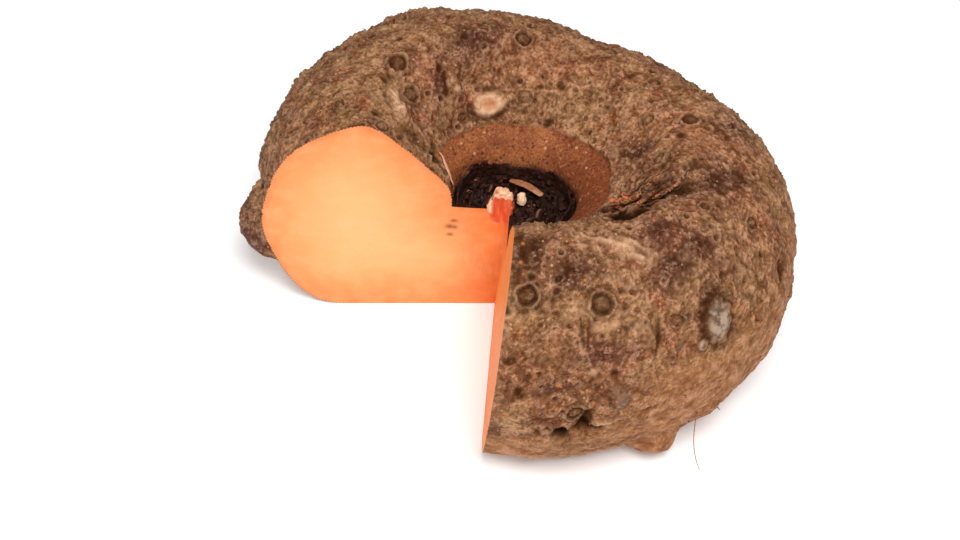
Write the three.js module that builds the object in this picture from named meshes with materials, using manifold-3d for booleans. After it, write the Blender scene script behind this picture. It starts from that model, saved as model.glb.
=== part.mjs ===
// Elephant foot yam: a corm with a quarter cut out of it, lying on its flat foot.
// Its halved shoot bud and the dry scales of last season's leaf stand in the pit on top,
// and a few dry roots lie in the fold beside the pit.
// Millimetres, +Z up, on a centre line through the middle of the pit until the last lines,
// which move the origin to the middle of the foot.

import * as THREE from "three";
import { mergeVertices } from "three/addons/utils/BufferGeometryUtils.js";
import Module from "manifold-3d";

const wasm = await Module();
wasm.setup();

const FULL_TURN = 2 * Math.PI;
const { degToRad, lerp } = THREE.MathUtils;

// Driving dimensions of the corm. A row of eight gives one size at every 45 degrees,
// from +X by way of +Y, which is the back.
const OUTER_RADIUS = [122.5, 109, 114, 128, 114, 114, 112, 123];
const CREST_RADIUS = [70, 62, 64, 72, 66, 66, 66, 72];
const CREST_HEIGHT = [104, 102, 109, 111, 107, 106, 107, 106];
const WAIST_HEIGHT = 50; // where the corm is widest
const FOOT_RADIUS = [84, 80, 80, 84, 84, 80, 76, 84]; // where the underside leaves the floor
const CUP_RADIUS = [41, 35, 34, 38, 38, 38, 38, 40]; // the edge of the smooth leaf scar
const CUP_RIM_HEIGHT = [82, 82, 82, 82, 83, 84, 84, 82];
const PIT_RADIUS = [25, 23, 23, 28, 29, 29, 28, 26];
const PIT_HEIGHT = 62;
const PIT_DISH = 1.5;

const AZIMUTHS = 120;
const ROWS = { pit: 3, rim: 9, crest: 18, waist: 28, foot: 37, end: 40 };

// The quarter that was cut out: one face runs along -X, the other along -Y and leans.
const CUT = { cornerX: -3, height: 66, lean: degToRad(6), skew: degToRad(4.2) };

// Round offsets that grew on the side: one behind the left cut face, one low in front, one behind.
const OFFSETS = [
  { centre: [-108.2, 18, 37.5], size: [20.3, 17.5, 20.5] },
  { centre: [56, -82, 14], size: [13, 16, 12] },
  { centre: [30, 100, 30], size: [14, 13, 15] },
];

// Broad bulges of the skin: the middle, the rise and the width.
const BULGES = [
  { centre: [-108, 42, 58], rise: 6, width: 24 },
  { centre: [108, -58, 26], rise: 1.5, width: 16 },
  { centre: [106, 50, 55], rise: 5, width: 22 },
  { centre: [-40, 118, 52], rise: 3, width: 24 },
  { centre: [-44, 100, 90], rise: 4, width: 26 },
  { centre: [62, -70, 98], rise: 2.5, width: 22 },
  { centre: [84, -85, 30], rise: -1.5, width: 18 },
  { centre: [24, 112, 80], rise: -2, width: 20 },
];

// The fold that runs out from the pit's rim over the right shoulder: [x, y, depth].
const FOLD = [
  [37, -23, 5],
  [46, -31, 8],
  [58, -35, 7],
  [74, -31, 5],
  [92, -18, 3],
  [112, -10, 0],
];
const FOLD_WIDTH = 7.5;

const GAP = 0.35; // between pieces that would otherwise touch

// The bud as it sits in its socket, sizes up from its base: [radius, height].
const BUD_CENTRE = [-7.6, 0.5];
const BUD_PROFILE = [
  [2.6, 52.5],
  [4.8, 54.5],
  [6.0, 58],
  [6.3, 61.5],
  [6.2, 65],
  [5.4, 67],
  [5.6, 69.5],
  [4.6, 72],
  [3.9, 71],
];

// Scale leaves stand on the pit's floor as arcs round the bud. Angles are in degrees from +X,
// "inset" is the distance from the foot of the pit's wall.
const SCALE_LEAVES = [
  { name: "outer_scale_right", inset: 1.3, from: -88, to: 92, height: 7.5, lean: -0.05 },
  { name: "outer_scale_left", inset: 1.3, from: 101, to: 190, height: 9.5, lean: -0.1 },
  { name: "middle_scale_right", inset: 6.2, from: -60, to: 34, height: 5.5, lean: -0.35 },
  { name: "middle_scale_back", inset: 6.6, from: 52, to: 122, height: 5.5, lean: -0.2 },
  { name: "middle_scale_left", inset: 6.8, from: 131, to: 190, height: 7.5, lean: -0.25 },
  { name: "inner_scale_right", inset: 12, from: -110, to: -8, height: 5, lean: -0.3 },
  { name: "inner_scale_left", inset: 12.8, from: 122, to: 190, height: 6.5, lean: -0.2 },
];
const SCALE_THICKNESS = 1.1;

// Dry roots lying on the skin beside the fold: plan positions and radius.
const DRY_ROOTS = [
  { name: "dry_root_1", path: [[41, -23], [45.5, -26], [50, -26.5]], radius: 1.5 },
  { name: "dry_root_2", path: [[44, -29.5], [49, -31.5], [54, -30]], radius: 1.2 },
  { name: "dry_root_3", path: [[55, -34], [60.5, -33], [65, -30]], radius: 1.0 },
];

// A smooth closed curve through equally spaced values, as a function of the azimuth.
function around(values) {
  const count = values.length;
  return (azimuth) => {
    const at = ((((azimuth / FULL_TURN) * count) % count) + count) % count;
    const i = Math.floor(at);
    const t = at - i;
    const [a, b, c, d] = [-1, 0, 1, 2].map((k) => values[(i + k + count) % count]);
    return b + 0.5 * t * (c - a + t * (2 * a - 5 * b + 4 * c - d + t * (3 * (b - c) + d - a)));
  };
}

const outerRadius = around(OUTER_RADIUS);
const crestRadius = around(CREST_RADIUS);
const crestHeight = around(CREST_HEIGHT);
const footRadius = around(FOOT_RADIUS);
const cupRadius = around(CUP_RADIUS);
const rimHeight = around(CUP_RIM_HEIGHT);
const pitRadius = around(PIT_RADIUS);

// A point of the corm's plain section on that row, at that azimuth: [radius, height].
// The rows run from the middle of the pit over the crest to the middle of the foot.
function sectionPoint(azimuth, row) {
  const along = (from, to) => (row - from) / (to - from);
  const quarter = Math.PI / 2;
  const outer = outerRadius(azimuth);
  const crest = { r: crestRadius(azimuth), z: crestHeight(azimuth) };
  const rim = { r: cupRadius(azimuth), z: rimHeight(azimuth) };
  const pit = pitRadius(azimuth);
  const foot = footRadius(azimuth);
  if (row <= ROWS.pit) {
    const t = along(0, ROWS.pit);
    return [pit * t, PIT_HEIGHT - PIT_DISH * (1 - t * t)];
  }
  if (row <= ROWS.rim) {
    const t = along(ROWS.pit, ROWS.rim);
    return [lerp(pit, rim.r, t ** 2.5), lerp(PIT_HEIGHT, rim.z, t)];
  }
  if (row <= ROWS.crest) {
    const t = along(ROWS.rim, ROWS.crest);
    return [lerp(rim.r, crest.r, t), lerp(crest.z, rim.z, (1 - t) ** 1.5)];
  }
  if (row <= ROWS.waist) {
    const t = quarter * along(ROWS.crest, ROWS.waist);
    return [lerp(crest.r, outer, Math.sin(t)), lerp(WAIST_HEIGHT, crest.z, Math.cos(t))];
  }
  if (row <= ROWS.foot) {
    const t = quarter * along(ROWS.waist, ROWS.foot);
    return [lerp(foot, outer, Math.cos(t)), WAIST_HEIGHT * (1 - Math.sin(t))];
  }
  return [foot * (1 - along(ROWS.foot, ROWS.end)), 0];
}

// How far the fold lowers the skin at a place seen from above.
function foldDepth(x, y) {
  let depth = 0;
  for (let i = 0; i + 1 < FOLD.length; i++) {
    const [ax, ay, from] = FOLD[i];
    const [bx, by, to] = FOLD[i + 1];
    const [dx, dy] = [bx - ax, by - ay];
    const t = THREE.MathUtils.clamp(((x - ax) * dx + (y - ay) * dy) / (dx * dx + dy * dy), 0, 1);
    const off = Math.hypot(x - ax - t * dx, y - ay - t * dy) / FOLD_WIDTH;
    depth = Math.max(depth, lerp(from, to, t) * Math.exp(-off * off));
  }
  return depth;
}

// The uneven swelling of the skin, in millimetres outward.
function swelling(x, y, z) {
  const waves =
    1.3 * Math.sin(x / 13 + 1.2 * Math.sin(y / 19)) * Math.sin(y / 15 + 0.7 + 0.9 * Math.sin(z / 17)) +
    0.9 * Math.sin((x + y) / 9 + 2.1) * Math.sin((y - z) / 10 + 0.4);
  return BULGES.reduce((sum, { centre: [cx, cy, cz], rise, width }) => {
    const off = Math.hypot(x - cx, y - cy, z - cz) / width;
    return sum + rise * Math.exp(-off * off);
  }, waves);
}

// A point of the corm's surface: the plain section with the swelling and the fold.
function cormPoint(azimuth, row) {
  const [r, z] = sectionPoint(azimuth, row);
  const [x, y] = [r * Math.cos(azimuth), r * Math.sin(azimuth)];
  if (row <= ROWS.rim || row >= ROWS.foot) return [x, y, z];
  const skin = Math.min(1, (row - ROWS.rim) / 4, (ROWS.foot - row) / 3);
  const out = new THREE.Vector2(r - 0.55 * outerRadius(azimuth), z - WAIST_HEIGHT).normalize();
  const rise = skin * swelling(x, y, z);
  const lowered = z > 70 ? foldDepth(x, y) * Math.min(1, (z - 70) / 15) : 0;
  const radius = r + out.x * rise;
  return [radius * Math.cos(azimuth), radius * Math.sin(azimuth), z + out.y * rise - lowered];
}

function toGeometryFrom(places, faces) {
  const geometry = new THREE.BufferGeometry();
  geometry.setAttribute("position", new THREE.Float32BufferAttribute(places.flat(), 3));
  geometry.setIndex(faces.flat());
  return geometry;
}

// A closed surface of rings between two poles. The rings run anticlockwise seen from the last
// pole, and the surface faces out.
function ringed(firstPole, rings, lastPole) {
  const size = rings[0].length;
  const places = [firstPole, ...rings.flat(), lastPole];
  const faces = [];
  for (let i = 0; i < size; i++) {
    const j = (i + 1) % size;
    faces.push([0, 1 + j, 1 + i]);
    for (let k = 0; k + 1 < rings.length; k++) {
      const [low, high] = [1 + k * size, 1 + (k + 1) * size];
      faces.push([low + i, low + j, high + j], [low + i, high + j, high + i]);
    }
    const top = 1 + (rings.length - 1) * size;
    faces.push([top + i, top + j, places.length - 1]);
  }
  return toGeometryFrom(places, faces);
}

// The whole corm before it was cut, from the foot up and over into the pit.
function cormSurface() {
  const rings = [];
  for (let row = ROWS.end - 1; row > 0; row--) {
    rings.push(Array.from({ length: AZIMUTHS }, (_, a) => cormPoint((a / AZIMUTHS) * FULL_TURN, row)));
  }
  return ringed(cormPoint(0, ROWS.end), rings, cormPoint(0, 0));
}

// The space that was cut away, as a closed wedge with its edge down through the pit.
function cutAway() {
  const reach = 320;
  const [low, high] = [-20, 160];
  const corner = (z) => CUT.cornerX + (z - CUT.height) * Math.tan(CUT.lean);
  const places = [low, high].flatMap((z) => [
    [corner(z), 0, z],
    [corner(z) - reach, 0, z],
    [corner(z) - reach * Math.tan(CUT.skew), -reach, z],
  ]);
  const faces = [0, 2, 1, 3, 4, 5, 0, 1, 4, 0, 4, 3, 1, 2, 5, 1, 5, 4, 2, 0, 3, 2, 3, 5];
  return toGeometryFrom(places, faces);
}

function toSolid(geometry) {
  const bare = geometry.clone();
  for (const name of Object.keys(bare.attributes)) if (name !== "position") bare.deleteAttribute(name);
  const merged = mergeVertices(bare, 1e-3);
  return new wasm.Manifold(
    new wasm.Mesh({
      numProp: 3,
      vertProperties: merged.attributes.position.array,
      triVerts: new Uint32Array(merged.index.array),
    }),
  );
}

function toGeometry(solid) {
  const mesh = solid.getMesh();
  const geometry = new THREE.BufferGeometry();
  geometry.setAttribute("position", new THREE.BufferAttribute(mesh.vertProperties, 3));
  geometry.setIndex(new THREE.BufferAttribute(mesh.triVerts, 1));
  return geometry;
}

// A round offset, before it joins the corm.
function offset({ centre, size }) {
  return toSolid(new THREE.SphereGeometry(1, 28, 18).scale(...size).translate(...centre));
}

// The bud, or with a margin the socket it sits in.
function budSolid(margin) {
  const sides = 28;
  const ring = ([radius, z], k) =>
    Array.from({ length: sides }, (_, i) => {
      const angle = (i / sides) * FULL_TURN;
      const r = (radius + margin) * (1 + 0.05 * Math.sin(3 * angle + k));
      return [BUD_CENTRE[0] + r * Math.cos(angle), BUD_CENTRE[1] + r * Math.sin(angle), z];
    });
  const first = BUD_PROFILE[0];
  const last = BUD_PROFILE[BUD_PROFILE.length - 1];
  return toSolid(
    ringed([...BUD_CENTRE, first[1] - 1 - margin], BUD_PROFILE.map(ring), [...BUD_CENTRE, last[1] - 0.4]),
  );
}

// The pit's floor at a distance from its middle.
function pitFloor(azimuth, radius) {
  return PIT_HEIGHT - PIT_DISH * (1 - (radius / pitRadius(azimuth)) ** 2);
}

// One scale leaf: a thin upright arc with a ragged upper edge, closed all round.
function scaleLeaf({ inset, from, to, height, lean }, seed) {
  const steps = Math.max(8, Math.round((to - from) / 9));
  const levels = 4;
  const strips = [0, 1].map((side) =>
    Array.from({ length: levels + 1 }, (_, k) =>
      Array.from({ length: steps + 1 }, (_, i) => {
        const angle = degToRad(lerp(from, to, i / steps));
        const base = pitRadius(angle) - inset;
        const taper = Math.min(1, 0.45 + 2.2 * Math.min(i / steps, 1 - i / steps));
        const ragged = 1 + 0.13 * Math.sin(5 * i + seed) + 0.1 * Math.sin(2.3 * i + 2 * seed);
        const rise = (height * taper * ragged * k) / levels;
        const curl = 0.35 * Math.sin(1.7 * i + seed) * (k / levels);
        const r = base + lean * rise + curl - (side ? 0 : SCALE_THICKNESS * (1 - (0.4 * k) / levels));
        return [r * Math.cos(angle), r * Math.sin(angle), pitFloor(angle, base) + GAP + rise];
      }),
    ),
  );
  const inner = strips[0];
  const outer = strips[1];
  const rings = [];
  for (let i = 0; i <= steps; i++) {
    rings.push([...inner.map((line) => line[i]), ...outer.map((line) => line[i]).reverse()]);
  }
  const middle = (ring) => [0, 1, 2].map((k) => ring.reduce((sum, place) => sum + place[k], 0) / ring.length);
  return toSolid(ringed(middle(rings[0]), rings, middle(rings[steps])));
}

// A leaf or root fragment as a closed tube along a line of places, flattened if asked.
function fragment(line, radii, flatness, sides = 8) {
  const curve = new THREE.CatmullRomCurve3(line.map((place) => new THREE.Vector3(...place)));
  const count = radii.length;
  const up = new THREE.Vector3(0, 0, 1);
  const rings = radii.map((radius, k) => {
    const at = curve.getPoint(k / (count - 1));
    const forward = curve.getTangent(k / (count - 1));
    const side = new THREE.Vector3().crossVectors(up, forward).normalize();
    const top = new THREE.Vector3().crossVectors(forward, side);
    return Array.from({ length: sides }, (_, i) => {
      const angle = (i / sides) * FULL_TURN;
      const place = at.clone();
      place.addScaledVector(side, radius * Math.cos(angle));
      place.addScaledVector(top, radius * flatness * Math.sin(angle));
      return place.toArray();
    });
  });
  const poleAt = (t, reach) => curve.getPoint(t).addScaledVector(curve.getTangent(t), reach).toArray();
  return toSolid(ringed(poleAt(0, -radii[0] * 0.4), rings, poleAt(1, radii[count - 1] * 0.4)));
}

const knife = toSolid(cutAway());
const grown = OFFSETS.reduce((solid, each) => solid.add(offset(each)), toSolid(cormSurface()));
const onFloor = grown.trimByPlane([0, 0, 1], 0);
const cormSolid = onFloor.subtract(budSolid(GAP)).subtract(knife);

const finishes = {
  skin: { color: 0x6b5138, roughness: 0.9 },
  bud: { color: 0xd9765a, roughness: 0.6 },
  scale: { color: 0x231815, roughness: 0.45 },
  papery: { color: 0xb9875c, roughness: 0.7 },
  root: { color: 0xa8602f, roughness: 0.8 },
};

const yam = new THREE.Group();

function addPiece(name, solid, finish) {
  const material = new THREE.MeshStandardMaterial({ ...finishes[finish], metalness: 0 });
  const piece = new THREE.Mesh(toGeometry(solid), material);
  piece.name = name;
  yam.add(piece);
  return piece;
}

const corm = addPiece("corm", cormSolid, "skin");
addPiece("shoot_bud", budSolid(0).subtract(knife), "bud");
SCALE_LEAVES.forEach((leaf, i) => addPiece(leaf.name, scaleLeaf(leaf, i).subtract(knife), "scale"));

// A torn strip of dry leaf base leaning over the scales, and a pale chip broken off the bud.
addPiece(
  "papery_strip",
  fragment([[-3.5, 13.8, 67], [3.5, 8.6, 68.6], [10, 3, 67.8]], [1.3, 1.9, 2.0, 1.8, 1.5], 0.28),
  "papery",
);
addPiece(
  "bud_chip",
  fragment([[1.2, 1.1, 62.6], [1.7, 1.6, 64.6], [1.5, 2.6, 67.2]], [2.0, 2.3, 1.8], 0.8),
  "papery",
);

// The skin's height under a place, found by looking straight down.
corm.updateMatrixWorld();
function skinHeight(x, y) {
  const ray = new THREE.Raycaster(new THREE.Vector3(x, y, 200), new THREE.Vector3(0, 0, -1));
  return ray.intersectObject(corm)[0].point.z;
}

for (const { name, path, radius } of DRY_ROOTS) {
  const line = path.map(([x, y]) => [x, y, skinHeight(x, y) + radius + 1.2]);
  addPiece(name, fragment(line, [0.7, 1, 0.85, 1, 0.6].map((k) => k * radius), 0.85), "root");
}

// The origin goes to the middle of the foot of everything together.
const box = new THREE.Box3().setFromObject(yam);
const middle = box.getCenter(new THREE.Vector3());
for (const piece of yam.children) piece.geometry.translate(-middle.x, -middle.y, -box.min.z);

export default yam;
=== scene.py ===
"""An elephant foot yam on a white table, cut open at one quarter.

The classes build the warty skin, the cut flesh, the halved bud among its withered scales in the pit,
and the dry roots in the fold. Sizes in the classes are millimetres in the row frame; meshes are metres.
"""

from __future__ import annotations

import logging
import math
from dataclasses import dataclass, field
from enum import Enum
from itertools import product

import bmesh
import bpy
import numpy as np
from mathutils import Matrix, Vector
from mathutils.bvhtree import BVHTree


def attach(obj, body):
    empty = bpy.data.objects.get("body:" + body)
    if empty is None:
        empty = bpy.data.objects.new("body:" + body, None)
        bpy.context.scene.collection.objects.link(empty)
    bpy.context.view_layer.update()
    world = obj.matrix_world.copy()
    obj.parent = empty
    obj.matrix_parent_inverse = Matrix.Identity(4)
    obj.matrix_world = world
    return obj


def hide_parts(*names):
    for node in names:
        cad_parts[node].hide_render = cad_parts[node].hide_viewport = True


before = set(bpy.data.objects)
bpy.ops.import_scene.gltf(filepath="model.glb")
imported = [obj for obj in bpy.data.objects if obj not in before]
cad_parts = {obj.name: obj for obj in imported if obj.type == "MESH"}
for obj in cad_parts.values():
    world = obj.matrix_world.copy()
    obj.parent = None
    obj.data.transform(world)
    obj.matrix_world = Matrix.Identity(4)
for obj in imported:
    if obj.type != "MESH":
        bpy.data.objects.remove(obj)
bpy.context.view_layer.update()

MM = 0.001  # metres in a millimetre
WELD = 1e-6  # metres within which points are one point
FAR = 99.0  # millimetres, farther than anything that is looked for
Colour = tuple[float, float, float]
Place = tuple[float, float, float]
Faces = list[tuple[int, ...]]  # rows of point numbers
Socket = bpy.types.NodeSocket
Piece = bpy.types.Object

log = logging.getLogger("yam")


# ---------------------------------------------------------------- shaping helpers


def smoothstep(low: float, high: float, value: np.ndarray) -> np.ndarray:
    """A soft step from 0 at low to 1 at high."""
    t = np.clip((value - low) / (high - low), 0.0, 1.0)
    return t * t * (3.0 - 2.0 * t)


def hump(value: np.ndarray, centre: float, width: float) -> np.ndarray:
    """A bell of height 1 about centre."""
    return np.exp(-(((value - centre) / width) ** 2))


def plateau(value: np.ndarray, radius: float, power: int) -> np.ndarray:
    """A flat-topped bump of height 1 about 0 that falls off at the radius; a higher power is steeper."""
    return np.exp(-((value / radius) ** power))


def unit(vectors: np.ndarray) -> np.ndarray:
    """The vectors at length 1."""
    return vectors / np.maximum(np.linalg.norm(vectors, axis=-1, keepdims=True), 1e-9)


class Grain:
    """Smooth seeded unevenness in space, between about -1 and 1."""

    def __init__(self, seed: int) -> None:
        """Draws the slopes that the unevenness is made of."""
        draw = np.random.default_rng(seed)
        self.order = draw.permutation(256)
        self.slopes = unit(draw.normal(size=(256, 3)))
        self.shifts = draw.uniform(-0.45, 0.45, size=(256, 3))
        self.chances = draw.random(256)

    def key(self, cell: np.ndarray) -> np.ndarray:
        """A chance number from 0 to 255 for each whole-numbered place."""
        number = self.order[cell[..., 0] & 255]
        number = self.order[(number + cell[..., 1]) & 255]
        return self.order[(number + cell[..., 2]) & 255]

    def at(self, points: np.ndarray, size: float) -> np.ndarray:
        """The unevenness at some points.

        Args:
            points: places in millimetres, any shape ending in 3.
            size: how far apart the lumps are, in millimetres.

        Returns:
            One value a point.
        """
        scaled = points / size
        cell = np.floor(scaled).astype(int)
        inside = scaled - cell
        ease = inside**3 * (inside * (inside * 6 - 15) + 10)
        total = np.zeros(points.shape[:-1])
        for corner in product((0, 1), repeat=3):
            dot = ((inside - corner) * self.slopes[self.key(cell + corner)]).sum(-1)
            share = np.ones_like(dot)
            for axis in range(3):
                share *= ease[..., axis] if corner[axis] else 1 - ease[..., axis]
            total += dot * share
        return total * 1.7

    def drift(self, points: np.ndarray, size: float, shifts: tuple[float, ...] = (0, 9, 18)) -> np.ndarray:
        """An unevenness of its own in each direction, one for each shift."""
        return np.stack([self.at(points + k, size) for k in shifts], -1)

    def pebbles(self, points: np.ndarray, size: float) -> tuple[np.ndarray, np.ndarray, np.ndarray]:
        """Space packed with pebbles.

        Args:
            points: places in millimetres, any shape ending in 3.
            size: the pebbles' size in millimetres.

        Returns:
            The distance to the nearest pebble's middle as a share of the size, how much farther the
            next one is, and a chance value for each pebble.
        """
        scaled = points / size
        cell = np.floor(scaled).astype(int)
        nearest = np.full(points.shape[:-1], 9.0)
        second = nearest.copy()
        chance = np.zeros_like(nearest)
        for corner in product((-1, 0, 1), repeat=3):
            home = cell + corner
            key = self.key(home)
            off = np.linalg.norm(scaled - home - 0.5 - self.shifts[key], axis=-1)
            closer = off < nearest
            second = np.where(closer, nearest, np.minimum(second, off))
            chance = np.where(closer, self.chances[key], chance)
            nearest = np.where(closer, off, nearest)
        return nearest, second - nearest, chance


def around(values: tuple[float, ...], azimuth: np.ndarray) -> np.ndarray:
    """A smooth closed curve through equally spaced values.

    Args:
        values: one value at every equal step of azimuth, from +X by way of +Y.
        azimuth: where to read it, in radians.

    Returns:
        The values there.
    """
    row = np.array(values)
    count = len(row)
    at = (np.asarray(azimuth) / math.tau * count) % count
    i = np.floor(at).astype(int) % count
    t = at - np.floor(at)
    a, b, c, d = (row[(i + k) % count] for k in (-1, 0, 1, 2))
    return b + 0.5 * t * (c - a + t * (2 * a - 5 * b + 4 * c - d + t * (3 * (b - c) + d - a)))


def in_scene(name: str, data: bpy.types.ID) -> bpy.types.Object:
    """A new object with that data, linked to the scene."""
    obj = bpy.data.objects.new(name, data)
    bpy.context.scene.collection.objects.link(obj)
    return obj


def set_marks(obj: Piece, marks: dict[str, np.ndarray]) -> None:
    """Adds named values, one a point, that the finishes read."""
    for key, values in marks.items():
        attribute = obj.data.attributes.new(key, "FLOAT", "POINT")
        attribute.data.foreach_set("value", np.asarray(values, np.float32).ravel())


def new_piece(
    name: str, points: np.ndarray, faces: Faces, marks: dict[str, np.ndarray] | None = None
) -> Piece:
    """Makes a smooth object.

    Args:
        name: the object's name.
        points: (n, 3) places in millimetres.
        faces: rows of point numbers.
        marks: named values, one a point, that the finishes read.

    Returns:
        The object, linked to the scene.
    """
    mesh = bpy.data.meshes.new(name)
    mesh.from_pydata((points * MM).tolist(), [], faces)
    mesh.polygons.foreach_set("use_smooth", [True] * len(mesh.polygons))
    mesh.update()
    obj = in_scene(name, mesh)
    set_marks(obj, marks or {})
    return obj


def points_of(obj: Piece) -> np.ndarray:
    """The piece's points in millimetres."""
    flat = np.zeros(len(obj.data.vertices) * 3, np.float32)
    obj.data.vertices.foreach_get("co", flat)
    return flat.reshape(-1, 3).astype(float) / MM


def normals_of(obj: Piece) -> np.ndarray:
    """The piece's outward directions, one a point."""
    flat = np.zeros(len(obj.data.vertices) * 3, np.float32)
    obj.data.vertex_normals.foreach_get("vector", flat)
    return flat.reshape(-1, 3).astype(float)


def swollen(obj: Piece, depth: np.ndarray) -> np.ndarray:
    """The piece's points moved outward by a depth each, all in millimetres."""
    return points_of(obj) + normals_of(obj) * depth[:, None]


def move_points(obj: Piece, points: np.ndarray) -> None:
    """Sets the piece's points, given in millimetres."""
    obj.data.vertices.foreach_set("co", (points * MM).astype(np.float32).ravel())
    obj.data.update()


def fine_copy(node: str, name: str, step: float) -> Piece:
    """A copy of a CAD solid with small even faces.

    Args:
        node: the CAD node.
        name: the new object's name.
        step: the faces' size in millimetres.

    Returns:
        The new object.
    """
    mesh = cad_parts[node].data.copy()
    soup = bmesh.new()
    soup.from_mesh(mesh)
    bmesh.ops.remove_doubles(soup, verts=soup.verts, dist=WELD)
    soup.to_mesh(mesh)
    soup.free()
    rough = in_scene(name + "_rough", mesh)
    even = rough.modifiers.new("even faces", "REMESH")
    even.mode = "VOXEL"
    even.voxel_size = step * MM
    graph = bpy.context.evaluated_depsgraph_get()
    fine = bpy.data.meshes.new_from_object(rough.evaluated_get(graph))
    bpy.data.objects.remove(rough)
    fine.name = name
    fine.materials.clear()
    fine.polygons.foreach_set("use_smooth", [True] * len(fine.polygons))
    return in_scene(name, fine)


def dress(obj: Piece, material: bpy.types.Material, slot: str, *nodes: str) -> Piece:
    """Gives a piece its finish and fixes it to the corm.

    Args:
        obj: the piece.
        material: its finish.
        slot: the record's name for that finish; not used.
        nodes: the CAD nodes that the piece stands for.

    Returns:
        The same piece.
    """
    obj.data.materials.append(material)
    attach(obj, "root")
    if nodes:
        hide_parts(*nodes)
    log.info("%s: %d faces, finish %s", obj.name, len(obj.data.polygons), material.name)
    return obj


# ---------------------------------------------------------------- finishes


class NodeBoard:
    """A material's node tree with short calls for the nodes that the finishes share."""

    def __init__(self, name: str) -> None:
        """Starts a material with a Principled shader."""
        self.material = bpy.data.materials.new(name)
        self.material.use_nodes = True
        self.tree = self.material.node_tree
        self.tree.nodes.clear()
        self.shader = self.tree.nodes.new("ShaderNodeBsdfPrincipled")
        output = self.tree.nodes.new("ShaderNodeOutputMaterial")
        self.tree.links.new(self.shader.outputs["BSDF"], output.inputs["Surface"])
        self.place = self.tree.nodes.new("ShaderNodeTexCoord").outputs["Object"]

    def put(self, socket: Socket, value: object) -> None:
        """Links a socket to a node's output, or sets it to a constant."""
        if isinstance(value, Socket):
            self.tree.links.new(value, socket)
        elif isinstance(value, tuple) and len(value) == 3 and socket.type == "RGBA":
            socket.default_value = (*value, 1.0)
        else:
            socket.default_value = value

    def set(self, **values: object) -> None:
        """Sets the shader's sockets; an underscore stands for a space."""
        for key, value in values.items():
            self.put(self.shader.inputs[key.replace("_", " ")], value)

    def add(
        self, kind: str, output: int | str, inputs: dict[int | str, object], **settings: object
    ) -> Socket:
        """Adds a node.

        Args:
            kind: the node's type, without ShaderNode.
            output: the output to return.
            inputs: a value or another node's output for each input.
            settings: the node's own settings.

        Returns:
            The output.
        """
        node = self.tree.nodes.new("ShaderNode" + kind)
        for key, value in settings.items():
            setattr(node, key, value)
        for key, value in inputs.items():
            self.put(node.inputs[key], value)
        return node.outputs[output]

    def mark(self, name: str) -> Socket:
        """The value that the mesh carries under that name."""
        return self.add("Attribute", "Fac", {}, attribute_name=name)

    def grain(
        self,
        size: float,
        detail: float = 4.0,
        rough: float = 0.55,
        bend: float = 0.0,
        squeeze: Place = (1, 1, 1),
    ) -> Socket:
        """Noise with lumps of that size in millimetres, between 0 and 1."""
        place = self.place
        if squeeze != (1, 1, 1):
            place = self.add("Mapping", "Vector", {"Scale": squeeze, "Vector": place})
        inputs = {"Scale": 1.0 / (size * MM), "Detail": detail, "Roughness": rough, "Distortion": bend}
        return self.add("TexNoise", "Fac", {**inputs, "Vector": place})

    def cells(self, size: float, output: str = "Distance") -> Socket:
        """Cells of that size in millimetres: the distance to the middle, or each cell's colour."""
        return self.add("TexVoronoi", output, {"Scale": 1.0 / (size * MM), "Vector": self.place})

    def calc(self, operation: str, a: object, b: object) -> Socket:
        """One sum on two values."""
        return self.add("Math", 0, {0: a, 1: b}, operation=operation)

    def times(self, a: object, b: object) -> Socket:
        """Two values multiplied."""
        return self.calc("MULTIPLY", a, b)

    def span(self, value: object, low: float, high: float, to_low: float = 0, to_high: float = 1) -> Socket:
        """The value, moved softly from one range to another and kept inside it."""
        inputs = {"Value": value, "From Min": low, "From Max": high, "To Min": to_low, "To Max": to_high}
        return self.add("MapRange", "Result", inputs, interpolation_type="SMOOTHSTEP")

    def blend(self, share: object, under: object, over: object, how: str = "MIX") -> Socket:
        """Two colours mixed."""
        return self.add("Mix", 2, {0: share, 6: under, 7: over}, data_type="RGBA", blend_type=how)

    def layered(self, under: object, *layers: tuple[object, object]) -> Socket:
        """A colour with others laid over it: each layer is its share and its colour."""
        for share, over in layers:
            under = self.blend(share, under, over)
        return under

    def grey(self, value: Socket) -> Socket:
        """A value as a grey colour that may be brighter than white."""
        return self.add("CombineColor", "Color", {0: value, 1: value, 2: value})

    def rare(self, size: float, share: float) -> Socket:
        """1 in a random share of the cells of that size, 0 in the others."""
        chance = self.add("SeparateColor", 0, {"Color": self.cells(size, "Color")})
        return self.calc("LESS_THAN", chance, share)

    def dots(self, size: float, inner: float, outer: float, strength: float, share: float) -> Socket:
        """Soft dots in a share of the cells.

        Args:
            size: the cells' size in millimetres.
            inner: where a dot starts to fade, as a share of the size.
            outer: where it has gone.
            strength: its value in the middle.
            share: how many of the cells have one.

        Returns:
            The value.
        """
        return self.times(self.span(self.cells(size), inner, outer, strength, 0.0), self.rare(size, share))

    def ramp(self, value: object, stops: tuple[tuple[float, Colour], ...]) -> Socket:
        """A colour for each value, through the stops."""
        node = self.tree.nodes.new("ShaderNodeValToRGB")
        self.put(node.inputs["Fac"], value)
        line = node.color_ramp.elements
        while len(line) < len(stops):
            line.new(0.5)
        for element, (at, colour) in zip(line, stops):
            element.position = at
            element.color = (*colour, 1.0)
        return node.outputs["Color"]

    def relief(self, *layers: tuple[object, float]) -> None:
        """Fine relief on the surface: each layer is a height and its depth in millimetres."""
        below: dict[str, object] = {}
        for height, depth in layers:
            inputs = {"Strength": 1.0, "Distance": depth * MM, "Height": height}
            below = {"Normal": self.add("Bump", "Normal", {**inputs, **below})}
        self.set(**below)


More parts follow.
